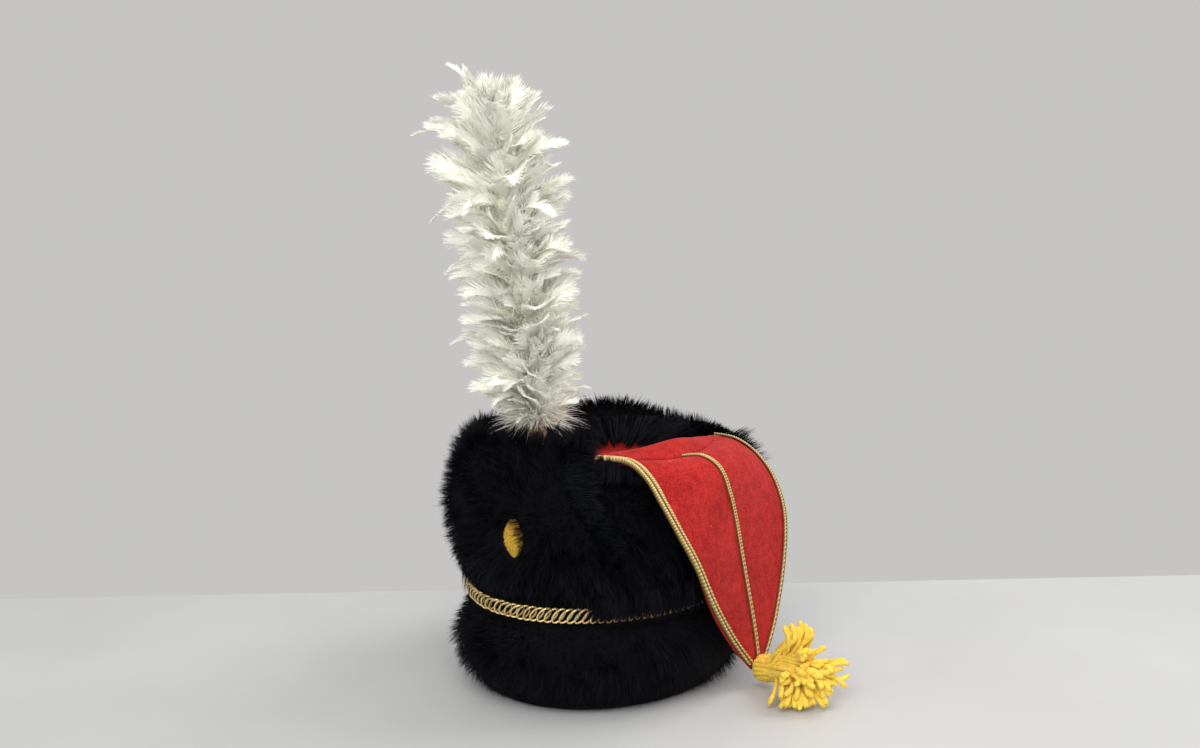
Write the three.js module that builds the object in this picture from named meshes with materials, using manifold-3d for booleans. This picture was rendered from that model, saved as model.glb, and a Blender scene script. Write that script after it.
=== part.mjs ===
// Busby: an oval felt shell covered in deep black fur, with a red felt crown and hanging bag,
// gold braid, a curb chin chain, a cockade and a feather plume.
// Millimetres, +Z up. The origin is the centre of the head opening, on the surface the hat rests
// on. The wearer faces -Y and the wearer's left is +X.
import * as THREE from 'three';
import { mergeVertices } from 'three/addons/utils/BufferGeometryUtils.js';
import { ParametricGeometry } from 'three/addons/geometries/ParametricGeometry.js';
import Module from 'manifold-3d';

const wasm = await Module();
wasm.setup();

// ---------------------------------------------------------------- driving dimensions

const HEAD = { halfWidth: 85, halfLength: 100 };
const SHELL = { thick: 2.5, height: 170, flare: 4, steps: 48 };
const GAP = 0.35;
const FLOOR_GAP = 0.4;
const FELT = 1.8;
const LEAF_GAP = 1;
const CROWN = { thick: 2, dip: 9, slope: 0.58, seamGap: 1.2, seat: 1.2, soft: 0.8 };
const BRAID = { edge: 6.8, centre: 4.4, thick: 1.5, groove: 0.6, gap: 0.6 };
const CHAIN = { z: 77, offset: 11.2, halfTall: 5.6, halfThick: 2 };
const COCKADE = { x: 3.5, z: 133, width: 17, tall: 28, deep: 9, seat: 8.6, fluff: 0.08, taper: 0.35 };
const PARTING = { clear: 0.7, floor: 8.8, neck: 10, mouth: 13, reach: 36, wide: 1.15, tall: 1.75 };
const HOLDER = { radius: 7, rim: 8.2, bottom: SHELL.height + CROWN.thick - 1, top: 208 };
const PLUME = { x: -1, y: -81, z: HOLDER.top + GAP, length: 260, leanX: -28, leanY: -21, bend: 1.35 };
const TASSEL = { knot: [135.7, 21, 15.5], mass: [170, 6, 21], reach: 34, locks: 20, spread: 1.25 };
const TASSEL_CORE = { size: [25, 24, 17], shift: [-6, 3, -2] };
const TASSEL_HEAD = { size: [10, 9, 10.5] };
const WOOL = { root: 7, tip: 5, start: 12, bend: 0.55, rise: 4 };

// ---------------------------------------------------------------- tables

// Where the crown is sewn to the bag, as angles round the shell, and where the crown is back on
// the shell beyond both ends.
const SEAM = { front: 0.95, frontEnd: 0.985, rear: -0.82, rearEnd: -0.87, lift: 6 };
// Up to where the bag presses the fur down, and where the fur is free again, for the rows near the
// top and for the rows below, where the bag is narrower. Between the two heights they blend.
const PRESS = {
  high: { front: SEAM.frontEnd, frontFree: 1.03, rear: SEAM.rearEnd, rearFree: -0.93 },
  low: { front: 0.5, frontFree: 0.8, rear: -0.62, rearFree: -0.85 },
  from: 120,
  to: 165,
};
// How the crest sinks behind the bag, swells beside the plume, and draws back at the front round
// the plume's holder.
const SINK = { depth: 9, angle: -1.3, spread: 0.9 };
const SWELL = { height: 11, angle: 1.6, spread: 1.05 };
const NOTCH = { kept: 0.62, spread: 0.3 };
// Shape of a lock, in shares of its depth: how far its tip slides down and stands out, how far
// the hollow beside it slides up and draws in, and how far its root is tucked under.
const LOCK = { tipSlide: -0.75, tipStand: 0.3, rootSlide: 0.6, rootStand: -0.2, tuck: 0.75 };
const FRONT = Math.PI / 2;

// Turns rows of numbers into objects with one named value for each column.
function table(names, rows) {
  const keys = names.split(' ');
  return rows.map((row) => Object.fromEntries(keys.map((key, i) => [key, row[i]])));
}

// The bag hangs as a flap over the rim. Each row is one fold line across it, from the seam to the
// tip: its height, how far out it stands, the middle and half of its width along Y, and how much
// its front and rear edges are tucked in and lifted.
const BAG_ROWS = table('z out side half tuckFront tuckRear liftFront liftRear', [
  [181, 87, -8, 78.5, 32, 25, 9, 0],
  [182, 101, -5, 73.5, 26, 19, 6, -2],
  [174, 112, -2, 74.5, 22, 15, 4, -4],
  [156, 117, 1, 74.5, 16, 7, 4, -2],
  [134, 119, 5, 71.5, 9, 0, 4, -1],
  [110, 120, 9, 64.5, 2, -3.5, 2, 1],
  [77, 121, 16, 51, 1, -3, 0, 0],
  [42, 123, 22, 29.5, 2, -2, 0, 0],
  [11, 124.5, 25.5, 3.5, 1.5, -1.5, 0, 0],
]);

// Section of the fur round the shell: how far it stands out from the shell and its height, where
// it is free, and where the bag presses it down. Lock is the depth of the locks in that row.
const FUR_ROWS = table('out z pressedOut pressedZ lock', [
  [5, 0.6, 5, 0.6, 0],
  [12, 5, 12, 5, 2.5],
  [22, 18, 21, 18, 4],
  [27, 34, 26, 34, 4.5],
  [23, 49, 22, 49, 4],
  [15, 62, 14, 62, 3],
  [8.8, 70, 8.8, 70, 0],
  [8.8, 84, 8.8, 84, 0],
  [17, 90, 15, 90, 3],
  [23, 101, 20, 100, 4],
  [26.5, 116, 22, 113, 4.5],
  [28, 132, 22.5, 127, 4.5],
  [27.5, 148, 21.5, 140, 4.5],
  [25.5, 164, 19, 152, 4],
  [21, 179, 15, 162, 4],
  [12, 192, 10, 170, 4],
  [1, 198, 5.5, 175, 4],
  [-10, 193, 3, 176.4, 3.5],
  [-17, 182, 1.6, 175.6, 2],
  [-19, 173, 0.9, 174, 0],
]);
const LAST_ROW = FUR_ROWS[FUR_ROWS.length - 1];
const CREST = { top: Math.max(...FUR_ROWS.map((row) => row.z)), base: 120, foot: LAST_ROW.z };

// The plume as whorls of feathers, from the binding to the top: the height along the stem, the
// radius of the feathers' roots and of their tips, and how far the tips rise.
const PLUME_ROWS = table('along root tip rise', [
  [2, 9, 30, 13],
  [14, 17, 40, 17],
  [35, 22, 40, 20],
  [57, 24, 39, 22],
  [81, 25, 44, 22],
  [105, 24, 40, 24],
  [129, 25, 45, 24],
  [155, 25, 44, 24],
  [181, 24, 43, 24],
  [205, 23, 43, 24],
  [230, 15, 27, 29],
]);

// ---------------------------------------------------------------- small helpers

// A repeatable value from -1 to 1 for each pair of whole numbers.
function scatter(a, b) {
  const wave = Math.sin(a * 127.1 + b * 311.7) * 43758.5453;
  return 2 * (wave - Math.floor(wave)) - 1;
}

const smooth = (value) => THREE.MathUtils.smoothstep(value, 0, 1);
// Smooth share, 0 to 1, of the way from a start to an end.
const stretch = (value, start, end) => smooth((value - start) / (end - start));
const mix = THREE.MathUtils.lerp;

// Smooth value of every column of a table at a share (0 to 1) of the way down its rows.
function sampleRows(rows, share) {
  const place = THREE.MathUtils.clamp(share, 0, 1) * (rows.length - 1);
  const k = Math.min(Math.floor(place), rows.length - 2);
  const f = place - k;
  const near = [k - 1, k, k + 1, k + 2].map((i) => rows[THREE.MathUtils.clamp(i, 0, rows.length - 1)]);
  const blend = (key) => {
    const [a, b, c, d] = near.map((row) => row[key]);
    const bend = (2 * a - 5 * b + 4 * c - d) * f * f + (3 * b - a - 3 * c + d) * f * f * f;
    return 0.5 * (2 * b + (c - a) * f + bend);
  };
  return Object.fromEntries(Object.keys(rows[0]).map((key) => [key, blend(key)]));
}

// Leaves only merged positions, drops triangles that have lost their area and turns the faces
// outward.
function weld(geometry) {
  const bare = geometry.clone();
  bare.deleteAttribute('normal');
  bare.deleteAttribute('uv');
  const merged = mergeVertices(bare, 1e-3);
  const index = merged.getIndex().array;
  const position = merged.getAttribute('position');
  const corner = (i) => new THREE.Vector3().fromBufferAttribute(position, i);
  const triangles = [];
  let volume = 0;
  for (let i = 0; i < index.length; i += 3) {
    const [a, b, c] = index.slice(i, i + 3);
    if (a === b || b === c || c === a) continue;
    triangles.push([a, b, c]);
    volume += corner(a).dot(corner(b).cross(corner(c)));
  }
  merged.setIndex(triangles.flatMap(([a, b, c]) => (volume > 0 ? [a, b, c] : [a, c, b])));
  return merged;
}

function toSolid(geometry) {
  const merged = weld(geometry);
  return new wasm.Manifold(new wasm.Mesh({
    numProp: 3,
    vertProperties: new Float32Array(merged.getAttribute('position').array),
    triVerts: new Uint32Array(merged.getIndex().array),
  }));
}

function toGeometry(solid) {
  const mesh = solid.getMesh();
  const geometry = new THREE.BufferGeometry();
  geometry.setAttribute('position', new THREE.BufferAttribute(mesh.vertProperties, 3));
  geometry.setIndex(new THREE.BufferAttribute(mesh.triVerts, 1));
  return geometry;
}

// Closed surface of rows by columns, where pointAt(row, column) gives each corner. Columns run
// round the piece; rows run along it and end in single points or close on the first row.
function grid(rows, columns, pointAt) {
  const place = (u, v, target) => target.copy(pointAt(Math.round(v * rows), Math.round(u * columns)));
  return weld(new ParametricGeometry(place, columns, rows));
}

// Sheet solid over a surface: point(s, t, offset) with s along and t across from -1 to 1.
// The top face lies at the offsets in tops, one for each step across, and the bottom at bottom.
function sheet(point, steps, bottom, tops) {
  const across = tops.length - 1;
  const around = 2 * across + 2;
  return grid(steps + 2, around, (row, column) => {
    const s = THREE.MathUtils.clamp(row - 1, 0, steps) / steps;
    const turn = column % around;
    const upper = turn <= across;
    const k = upper ? turn : around - 1 - turn;
    const t = 1 - 2 * k / across;
    const middle = (tops[k] + bottom) / 2;
    const end = row === 0 || row === steps + 2;
    return point(s, t, end ? middle : upper ? tops[k] : bottom);
  });
}

// ---------------------------------------------------------------- shell and crown

// Angles of the corners round the shell, from -PI to PI: even steps, with closer ones at the ends
// of the bag's seam.
function cornerAngles() {
  const step = 2 * Math.PI / SHELL.steps;
  const { frontFree, rearFree } = PRESS.high;
  const close = [SEAM.front, SEAM.frontEnd, frontFree, SEAM.rear, SEAM.rearEnd, rearFree];
  const even = Array.from({ length: SHELL.steps }, (_, i) => i * step - Math.PI);
  const apart = even.filter((angle) => close.every((other) => Math.abs(angle - other) > step / 4));
  return apart.concat(close).sort((a, b) => a - b);
}

const ANGLES = cornerAngles();
const COLUMNS = ANGLES.length;

// A point beside the oval shell. The angle starts at the wearer's left and turns to the front.
function beside(angle, z, out) {
  const spread = SHELL.thick + SHELL.flare * z / SHELL.height;
  const a = HEAD.halfWidth + spread;
  const b = HEAD.halfLength + spread;
  const away = new THREE.Vector2(Math.cos(angle) / a, -Math.sin(angle) / b).normalize();
  const x = a * Math.cos(angle) + out * away.x;
  const y = -b * Math.sin(angle) + out * away.y;
  return new THREE.Vector3(x, y, z);
}

function foundation() {
  const corners = table('out z', [
    [-SHELL.thick, 0],
    [0, 0],
    [0, SHELL.height],
    [-SHELL.thick, SHELL.height],
    [-SHELL.thick, 0],
  ]);
  return grid(corners.length - 1, COLUMNS, (row, column) => {
    return beside(ANGLES[column % COLUMNS], corners[row].z, corners[row].out);
  });
}

// Point of the bag's face: s runs from the seam to the tip, t from the rear edge to the front.
function bagFace(s, t) {
  const row = sampleRows(BAG_ROWS, s);
  const front = Math.max(t, 0) ** 2;
  const rear = Math.max(-t, 0) ** 2;
  return new THREE.Vector3(
    row.out - row.tuckFront * front - row.tuckRear * rear,
    row.side - row.half * t,
    row.z + row.liftFront * front + row.liftRear * rear,
  );
}

// The same with a distance out from the face.
function bagPoint(s, t, offset) {
  const step = 0.01;
  const s0 = Math.max(s - step, 0);
  const s1 = Math.min(s + step, 1);
  const down = bagFace(s1, t).sub(bagFace(s0, t));
  const across = bagFace(s, t - step).sub(bagFace(s, t + step));
  const normal = new THREE.Vector3().crossVectors(across, down).normalize();
  return bagFace(s, t).addScaledVector(normal, -offset);
}

// The rim of the crown follows the shell's top edge and climbs to the bag's seam. Further in, at a
// smaller share of the way from the middle, the climb is shorter and its ends are softer.
function crownRim(angle, inward) {
  const level = SHELL.height + GAP;
  const lower = beside(angle, level, -CROWN.seat);
  const t = THREE.MathUtils.clamp(angle < 0 ? angle / -SEAM.rear : angle / SEAM.front, -1, 1);
  const soft = CROWN.soft * (1 - inward);
  const share = angle > 0
    ? 1 - stretch(angle, SEAM.front - soft, SEAM.frontEnd)
    : 1 - stretch(angle, SEAM.rear + soft, SEAM.rearEnd);
  const seam = bagFace(0, t);
  const out = new THREE.Vector3(seam.x, seam.y, 0).normalize();
  seam.addScaledVector(out, -CROWN.seamGap);
  return lower.lerp(seam, share);
}

// ---------------------------------------------------------------- fur

// How far the bag presses a row of the fur down at an angle: 0 where it is free, 1 under the bag.
function pressed(angle, row) {
  const high = stretch(row.pressedZ, PRESS.from, PRESS.to);
  const at = (end) => mix(PRESS.low[end], PRESS.high[end], high);
  return angle > 0
    ? 1 - stretch(angle, at('front'), at('frontFree'))
    : 1 - stretch(angle, at('rear'), at('rearFree'));
}

// 1 in the middle of a stretch of angles, falling smoothly to 0 at both its ends.
const hump = (angle, middle, spread) => smooth(1 - Math.abs(angle - middle) / spread);

// Position in the fur's section, as distance out from the shell and height, with the least that
// each may be.
function furSection(angle, k) {
  const row = FUR_ROWS[k];
  const press = pressed(angle, row);
  const inside = row.out < 0;
  const kept = inside ? mix(1, NOTCH.kept, hump(angle, FRONT, NOTCH.spread)) : 1;
  const high = inside
    ? (row.z - CREST.foot) / (CREST.top - CREST.foot)
    : (Math.max(row.z - CREST.base, 0) / (CREST.top - CREST.base)) ** 2;
  const swell = SWELL.height * hump(angle, SWELL.angle, SWELL.spread);
  const sink = SINK.depth * hump(angle, SINK.angle, SINK.spread);
  const free = row.z + (swell - sink) * high;
  const upper = smooth((row.pressedZ - SHELL.height + 20) / 25);
  const lift = SEAM.lift * Math.max(angle / SEAM.front, 0) ** 2 * upper;
  return {
    out: mix(row.out * kept, row.pressedOut, press),
    z: mix(free, row.pressedZ + lift, press),
    leastOut: inside ? mix(row.out - 4, 0.8, press) : 3,
    leastZ: inside ? CREST.foot : FLOOR_GAP,
  };
}

// The hollow in the fur where the cockade sits, widening outward.
function parting() {
  const profile = table('radius depth', [
    [0, COCKADE.seat - PARTING.clear],
    [PARTING.floor, COCKADE.seat - PARTING.clear],
    [PARTING.neck, COCKADE.seat + COCKADE.deep * 0.7],
    [PARTING.mouth, PARTING.reach],
    [0, PARTING.reach],
  ]);
  const outline = profile.map((corner) => new THREE.Vector2(corner.radius, corner.depth));
  const geometry = new THREE.LatheGeometry(outline, 12);
  geometry.rotateX(Math.PI);
  geometry.scale(PARTING.wide, 1, PARTING.tall);
  geometry.translate(COCKADE.x, beside(FRONT, COCKADE.z, 0).y, COCKADE.z);
  return geometry;
}

function furCover() {
  const rings = [];
  FUR_ROWS.forEach((row, k) => {
    if (row.lock > 0) rings.push({ k, tuck: row.lock * LOCK.tuck });
    rings.push({ k, tuck: 0 });
  });
  const ringPoint = ({ k, tuck }, column) => {
    const angle = ANGLES[column];
    const here = furSection(angle, k);
    const before = furSection(angle, Math.max(k - 1, 0));
    const after = furSection(angle, Math.min(k + 1, FUR_ROWS.length - 1));
    const run = new THREE.Vector2(after.out - before.out, after.z - before.z).normalize();
    const lock = FUR_ROWS[k].lock;
    const isTip = (k + column) % 2 === 0;
    const slide = lock * (isTip ? LOCK.tipSlide : LOCK.rootSlide) * (1 + 0.3 * scatter(column, k));
    const rise = lock * (isTip ? LOCK.tipStand : LOCK.rootStand) * (1 + 0.4 * scatter(k, column));
    const out = here.out + run.x * slide + run.y * (rise - tuck);
    const z = here.z + run.y * slide - run.x * (rise - tuck);
    return beside(angle, Math.max(z, here.leastZ), Math.max(out, here.leastOut));
  };
  const bottom = FUR_ROWS[0].z;
  const top = (angle) => mix(LAST_ROW.z, LAST_ROW.pressedZ, pressed(angle, LAST_ROW)) - 0.1;
  const coat = grid(rings.length + 2, COLUMNS, (row, column) => {
    const turn = column % COLUMNS;
    const angle = ANGLES[turn];
    if (row === 0 || row === rings.length + 2) return beside(angle, bottom, GAP);
    if (row === rings.length + 1) return beside(angle, top(angle), GAP);
    return ringPoint(rings[row - 1], turn);
  });
  return toGeometry(toSolid(coat).subtract(toSolid(parting())));
}

function crownTop() {
  const rings = [0.45, 0.72, 0.9, 1];
  const level = SHELL.height + GAP;
  const place = (ring, column, lift) => {
    if (ring < 0) return new THREE.Vector3(0, 0, level - CROWN.dip + lift);
    const share = rings[ring];
    const rim = crownRim(ANGLES[column % COLUMNS], share);
    const climb = smooth((share - CROWN.slope) / (1 - CROWN.slope));
    const z = mix(level - CROWN.dip * (1 - share ** 3), rim.z, climb);
    return new THREE.Vector3(rim.x * share, rim.y * share, z + lift);
  };
  const last = rings.length - 1;
  return grid(2 * rings.length + 1, COLUMNS, (row, column) => {
    if (row <= rings.length) return place(row - 1, column, 0);
    return place(2 * last + 2 - row, column, CROWN.thick);
  });
}

// ---------------------------------------------------------------- bag and braid

// Across value of a line that runs a set distance inside the bag's edge, measured along Y.
function inset(s, distance) {
  return 1 - distance / sampleRows(BAG_ROWS, s).half;
}

// One felt leaf of the bag. Overhang lets its lower front edge show past the other leaf.
function bagPanel(bottom, overhang) {
  const point = (s, t, offset) => {
    const past = t > 0.9 ? overhang * smooth(2 * s) / sampleRows(BAG_ROWS, s).half : 0;
    return bagPoint(s, t * inset(s, 0.8) + past, offset);
  };
  return sheet(point, 18, bottom, new Array(8).fill(bottom + FELT));
}

function braid(start, end, middle, width) {
  const base = FELT + BRAID.gap;
  const high = base + BRAID.thick;
  const low = high - BRAID.groove;
  const point = (s, t, offset) => {
    const along = mix(start, end, s);
    const half = sampleRows(BAG_ROWS, along).half;
    return bagPoint(along, middle(along) + t * width / 2 / half, offset);
  };
  return sheet(point, 18, base, [low, high, low, high, low]);
}

// ---------------------------------------------------------------- chin chain

function chinChain() {
  const sides = 8;
  return grid(sides, COLUMNS, (row, column) => {
    const angle = ANGLES[column % COLUMNS];
    const turn = 2 * Math.PI * ((row % sides) + 0.5) / sides;
    const out = CHAIN.offset - CHAIN.halfThick * Math.cos(turn) / Math.cos(Math.PI / sides);
    const z = CHAIN.z - CHAIN.halfTall * Math.sin(turn) / Math.cos(Math.PI / sides);
    return beside(angle, z, out);
  });
}

// ---------------------------------------------------------------- plume, holder, cockade

// Point round the plume's leaning stem.
function roundStem(along, angle, radius) {
  const bent = (along / PLUME.length) ** PLUME.bend;
  const x = PLUME.x + PLUME.leanX * bent;
  const y = PLUME.y + PLUME.leanY * bent;
  return new THREE.Vector3(x + radius * Math.cos(angle), y + radius * Math.sin(angle), PLUME.z + along);
}

// Whorls of pointed feathers that lie over each other like the scales of a cone.
function plume() {
  const feathers = 9;
  const columns = 2 * feathers;
  const rings = [];
  PLUME_ROWS.forEach((row, k) => {
    rings.push({ k, along: row.along, radius: row.root, tip: false });
    rings.push({ k, along: row.along + row.rise * 0.5, radius: mix(row.root, row.tip, 0.75), tip: false });
    rings.push({ k, along: row.along + row.rise, radius: row.tip, tip: true });
  });
  const count = rings.length;
  return grid(count + 3, columns, (row, column) => {
    if (row === 0) return roundStem(0, 0, 0);
    if (row === count + 2) return roundStem(PLUME.length - 8, 0, 0);
    if (row === count + 3) return roundStem(PLUME.length - 8, 0, 0);
    const turn = column % columns;
    if (row === count + 1) return roundStem(PLUME.length - 4, turn / columns * 2 * Math.PI, 9);
    const ring = rings[row - 1];
    const source = PLUME_ROWS[ring.k];
    const onFeather = (turn + ring.k) % 2 === 0;
    const angle = 2 * Math.PI * turn / columns + 0.12 * scatter(ring.k, turn >> 1);
    let radius = ring.radius;
    let along = ring.along;
    if (!onFeather) radius = mix(source.root, ring.radius, 0.35);
    if (ring.tip) {
      const stretch = 1 + 0.16 * scatter(turn, ring.k);
      radius = onFeather ? source.tip * stretch : source.root;
      along = source.along + source.rise * (onFeather ? 1 : 0.72);
    }
    return roundStem(along, angle, radius);
  });
}

function plumeHolder() {
  const profile = table('radius z', [
    [0, HOLDER.bottom],
    [HOLDER.radius, HOLDER.bottom],
    [HOLDER.radius, HOLDER.top - 9],
    [HOLDER.rim, HOLDER.top - 7],
    [HOLDER.rim, HOLDER.top - 3],
    [HOLDER.radius - 2, HOLDER.top],
    [0, HOLDER.top],
  ]);
  const outline = profile.map((corner) => new THREE.Vector2(corner.radius, corner.z));
  const geometry = new THREE.LatheGeometry(outline, 14);
  geometry.rotateX(Math.PI / 2);
  geometry.translate(PLUME.x, PLUME.y, 0);
  return weld(geometry);
}

function cockade() {
  const geometry = weld(new THREE.SphereGeometry(0.5, 12, 8));
  const position = geometry.getAttribute('position');
  const corner = new THREE.Vector3();
  for (let i = 0; i < position.count; i += 1) {
    corner.fromBufferAttribute(position, i);
    const fluff = 1 + COCKADE.fluff * scatter(i, 5);
    const pinch = 1 - COCKADE.taper * (2 * corner.y) ** 2;
    corner.set(corner.x * pinch * COCKADE.width, corner.z * COCKADE.deep, corner.y * COCKADE.tall);
    corner.multiplyScalar(fluff);
    position.setXYZ(i, corner.x, -corner.y, corner.z);
  }
  const seat = beside(FRONT, COCKADE.z, COCKADE.seat + COCKADE.deep / 2);
  geometry.translate(COCKADE.x, seat.y, COCKADE.z);
  return geometry;
}

// ---------------------------------------------------------------- tassel

// One lock of wool: a tapering tube along a bent line, drawn with pointed ends.
function woolLock(from, bend, to, thick, thin) {
  const curve = new THREE.QuadraticBezierCurve3(from, bend, to);
  const sides = 5;
  const steps = 3;
  return grid(steps + 2, sides, (row, column) => {
    const share = THREE.MathUtils.clamp(row - 1, 0, steps) / steps;
    const centre = curve.getPoint(share);
    if (row === 0 || row === steps + 2) return centre;
    const along = curve.getTangent(share);
    const side = new THREE.Vector3(0, 0, 1).cross(along).normalize();
    const up = new THREE.Vector3().crossVectors(along, side);
    const angle = 2 * Math.PI * (column % sides) / sides;
    const radius = mix(thick, thin, share);
    const point = centre.addScaledVector(side, radius * Math.cos(angle));
    point.addScaledVector(up, radius * Math.sin(angle));
    point.z = Math.max(point.z, FLOOR_GAP);
    return point;
  });
}

function tassel() {
  const knot = new THREE.Vector3(...TASSEL.knot);
  const mass = new THREE.Vector3(...TASSEL.mass);
  const axis = mass.clone().sub(knot).normalize();
  const core = new THREE.SphereGeometry(1, 8, 6);
  core.scale(...TASSEL_CORE.size);
  core.translate(...mass.clone().add(new THREE.Vector3(...TASSEL_CORE.shift)));
  const head = new THREE.SphereGeometry(1, 8, 6);
  head.scale(...TASSEL_HEAD.size);
  head.rotateZ(Math.atan2(axis.y, axis.x));
  head.translate(knot.x, knot.y, knot.z);
  let solid = toSolid(core).add(toSolid(head));
  const golden = Math.PI * (3 - Math.sqrt(5));
  for (let i = 0; i < TASSEL.locks; i += 1) {
    const open = Math.acos(1 - TASSEL.spread * (i + 0.5) / TASSEL.locks);
    const turn = i * golden;
    const side = new THREE.Vector3(0, 0, 1).cross(axis).normalize();
    const up = new THREE.Vector3().crossVectors(axis, side);
    const toward = axis.clone().multiplyScalar(Math.cos(open));
    toward.addScaledVector(side, Math.sin(open) * Math.cos(turn));
    toward.addScaledVector(up, Math.sin(open) * Math.sin(turn));
    const reach = TASSEL.reach * (1 + 0.12 * scatter(i, 3));
    const end = mass.clone().addScaledVector(toward, reach);
    end.z = Math.max(end.z, WOOL.tip + 0.5);
    const start = knot.clone().addScaledVector(axis, WOOL.start);
    const bend = mass.clone().addScaledVector(toward, reach * WOOL.bend);
    bend.z = Math.max(bend.z + WOOL.rise, WOOL.root - 1);
    solid = solid.add(toSolid(woolLock(start, bend, end, WOOL.root, WOOL.tip)));
  }
  return toGeometry(solid);
}

// ---------------------------------------------------------------- finishes and assembly

function finish(color, roughness, metalness = 0) {
  return new THREE.MeshStandardMaterial({ color, roughness, metalness });
}

const FUR_BLACK = finish(0x0b0c10, 0.85);
const FELT_RED = finish(0xb22a26, 0.95);
const SHELL_BLACK = finish(0x1b1a1c, 0.9);
const BRAID_GOLD = finish(0xd9ad4a, 0.5, 0.3);
const CHAIN_GOLD = finish(0xcfa255, 0.3, 1);
const WOOL_YELLOW = finish(0xf2c53d, 0.95);
const FEATHER_WHITE = finish(0xe9ecdf, 0.8);
const HOLDER_TAN = finish(0xb98a3c, 0.8);

const busby = new THREE.Group();

function put(name, geometry, material) {
  const mesh = new THREE.Mesh(geometry, material);
  mesh.name = name;
  busby.add(mesh);
}

const edgeMiddle = (s) => inset(s, BRAID.edge / 2);

put('foundation', foundation(), SHELL_BLACK);
put('crown_top', crownTop(), FELT_RED);
put('fur_cover', furCover(), FUR_BLACK);
put('bag_outer_panel', bagPanel(0, 0), FELT_RED);
put('bag_inner_panel', bagPanel(-FELT - LEAF_GAP, 2), FELT_RED);
put('braid_front_edge', braid(0, 0.955, edgeMiddle, BRAID.edge), BRAID_GOLD);
put('braid_rear_edge', braid(0, 0.955, (s) => -edgeMiddle(s), BRAID.edge), BRAID_GOLD);
put('braid_centre', braid(0.01, 0.91, (s) => 0.13 * (1 - s), BRAID.centre), BRAID_GOLD);
put('tassel', tassel(), WOOL_YELLOW);
put('chin_chain', chinChain(), CHAIN_GOLD);
put('plume', plume(), FEATHER_WHITE);
put('plume_holder', plumeHolder(), HOLDER_TAN);
put('cockade', cockade(), WOOL_YELLOW);

export default busby;
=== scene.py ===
"""Looks of a dress busby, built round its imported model.

Fur coat, felt crown and bag, gold braid, chin chain, wool tassel, cockade, thread binding and
feather plume. Sizes in the classes are millimetres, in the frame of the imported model: +Z up, the
wearer facing -Y, the wearer's left at +X. Meshes are made in metres.
"""
import logging
import math
from collections.abc import Sequence
from dataclasses import astuple, dataclass, field
from enum import Enum

import bpy
import numpy as np
from mathutils import Matrix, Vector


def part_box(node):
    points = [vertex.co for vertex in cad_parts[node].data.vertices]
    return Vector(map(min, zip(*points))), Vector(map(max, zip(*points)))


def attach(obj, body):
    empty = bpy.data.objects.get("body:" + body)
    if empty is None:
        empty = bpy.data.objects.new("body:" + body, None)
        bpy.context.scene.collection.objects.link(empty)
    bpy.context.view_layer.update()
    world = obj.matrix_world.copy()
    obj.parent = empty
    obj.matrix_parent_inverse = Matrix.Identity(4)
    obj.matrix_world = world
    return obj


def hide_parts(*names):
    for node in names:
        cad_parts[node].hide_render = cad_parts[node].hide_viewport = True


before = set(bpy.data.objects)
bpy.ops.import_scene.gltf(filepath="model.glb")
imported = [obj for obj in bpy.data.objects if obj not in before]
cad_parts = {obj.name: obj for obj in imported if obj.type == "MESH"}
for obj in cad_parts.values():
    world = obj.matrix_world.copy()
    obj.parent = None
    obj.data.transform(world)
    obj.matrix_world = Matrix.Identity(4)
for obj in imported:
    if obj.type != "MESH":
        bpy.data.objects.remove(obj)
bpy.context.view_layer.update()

Array = np.ndarray
Material = bpy.types.Material
Random = np.random.Generator
Socket = bpy.types.NodeSocket
Colour = tuple[float, float, float]
Mesh = tuple[Array, list[Array]]
MM = 0.001
FULL_TURN = 2 * math.pi
FRONT = math.pi / 2
UP = np.array((0.0, 0.0, 1.0))
log = logging.getLogger("busby")


class Slot(Enum):
    """The record's material slots."""

    SHELL = "shell_felt"
    RED = "red_felt"
    FUR = "black_fur"
    BRAID = "gold_braid"
    WOOL = "yellow_wool"
    GILT = "gilt_chain"
    FEATHER = "white_feather"
    BINDING = "tan_binding"


# ---------------------------------------------------------------- sums on arrays of points


def unit(vectors: Array) -> Array:
    """Return the vectors at length 1."""
    return vectors / np.maximum(np.linalg.norm(vectors, axis=-1, keepdims=True), 1e-9)


def smooth(value: Array | float) -> Array:
    """Return 0 below 0, 1 above 1 and a soft step between."""
    share = np.clip(value, 0, 1)
    return share * share * (3 - 2 * share)


def mix(a: Array | float, b: Array | float, share: Array | float) -> Array:
    """Return a at share 0 and b at share 1."""
    return a + (b - a) * share


def hump(value: Array, middle: float, spread: float) -> Array:
    """Return 1 at the middle, falling softly to 0 at a spread from it."""
    return smooth(1 - np.abs(value - middle) / spread)


def wrap(angle: Array) -> Array:
    """Return the angle between minus and plus half a turn."""
    return np.mod(angle + math.pi, FULL_TURN) - math.pi


def turns(count: int) -> Array:
    """Return angles at even steps round a full turn."""
    return FULL_TURN * np.arange(count) / count


def aim(turn: Array, slope: Array | float = 0.0) -> Array:
    """Return unit vectors at a turn round the upright and a slope above the level."""
    level = np.cos(slope)
    return np.stack([level * np.cos(turn), level * np.sin(turn), np.sin(slope) * np.ones_like(turn)], -1)


def walked(path: Array) -> Array:
    """Return how far along a path each of its points lies."""
    return np.append(0, np.cumsum(np.linalg.norm(np.diff(path, axis=0), axis=1)))


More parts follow.
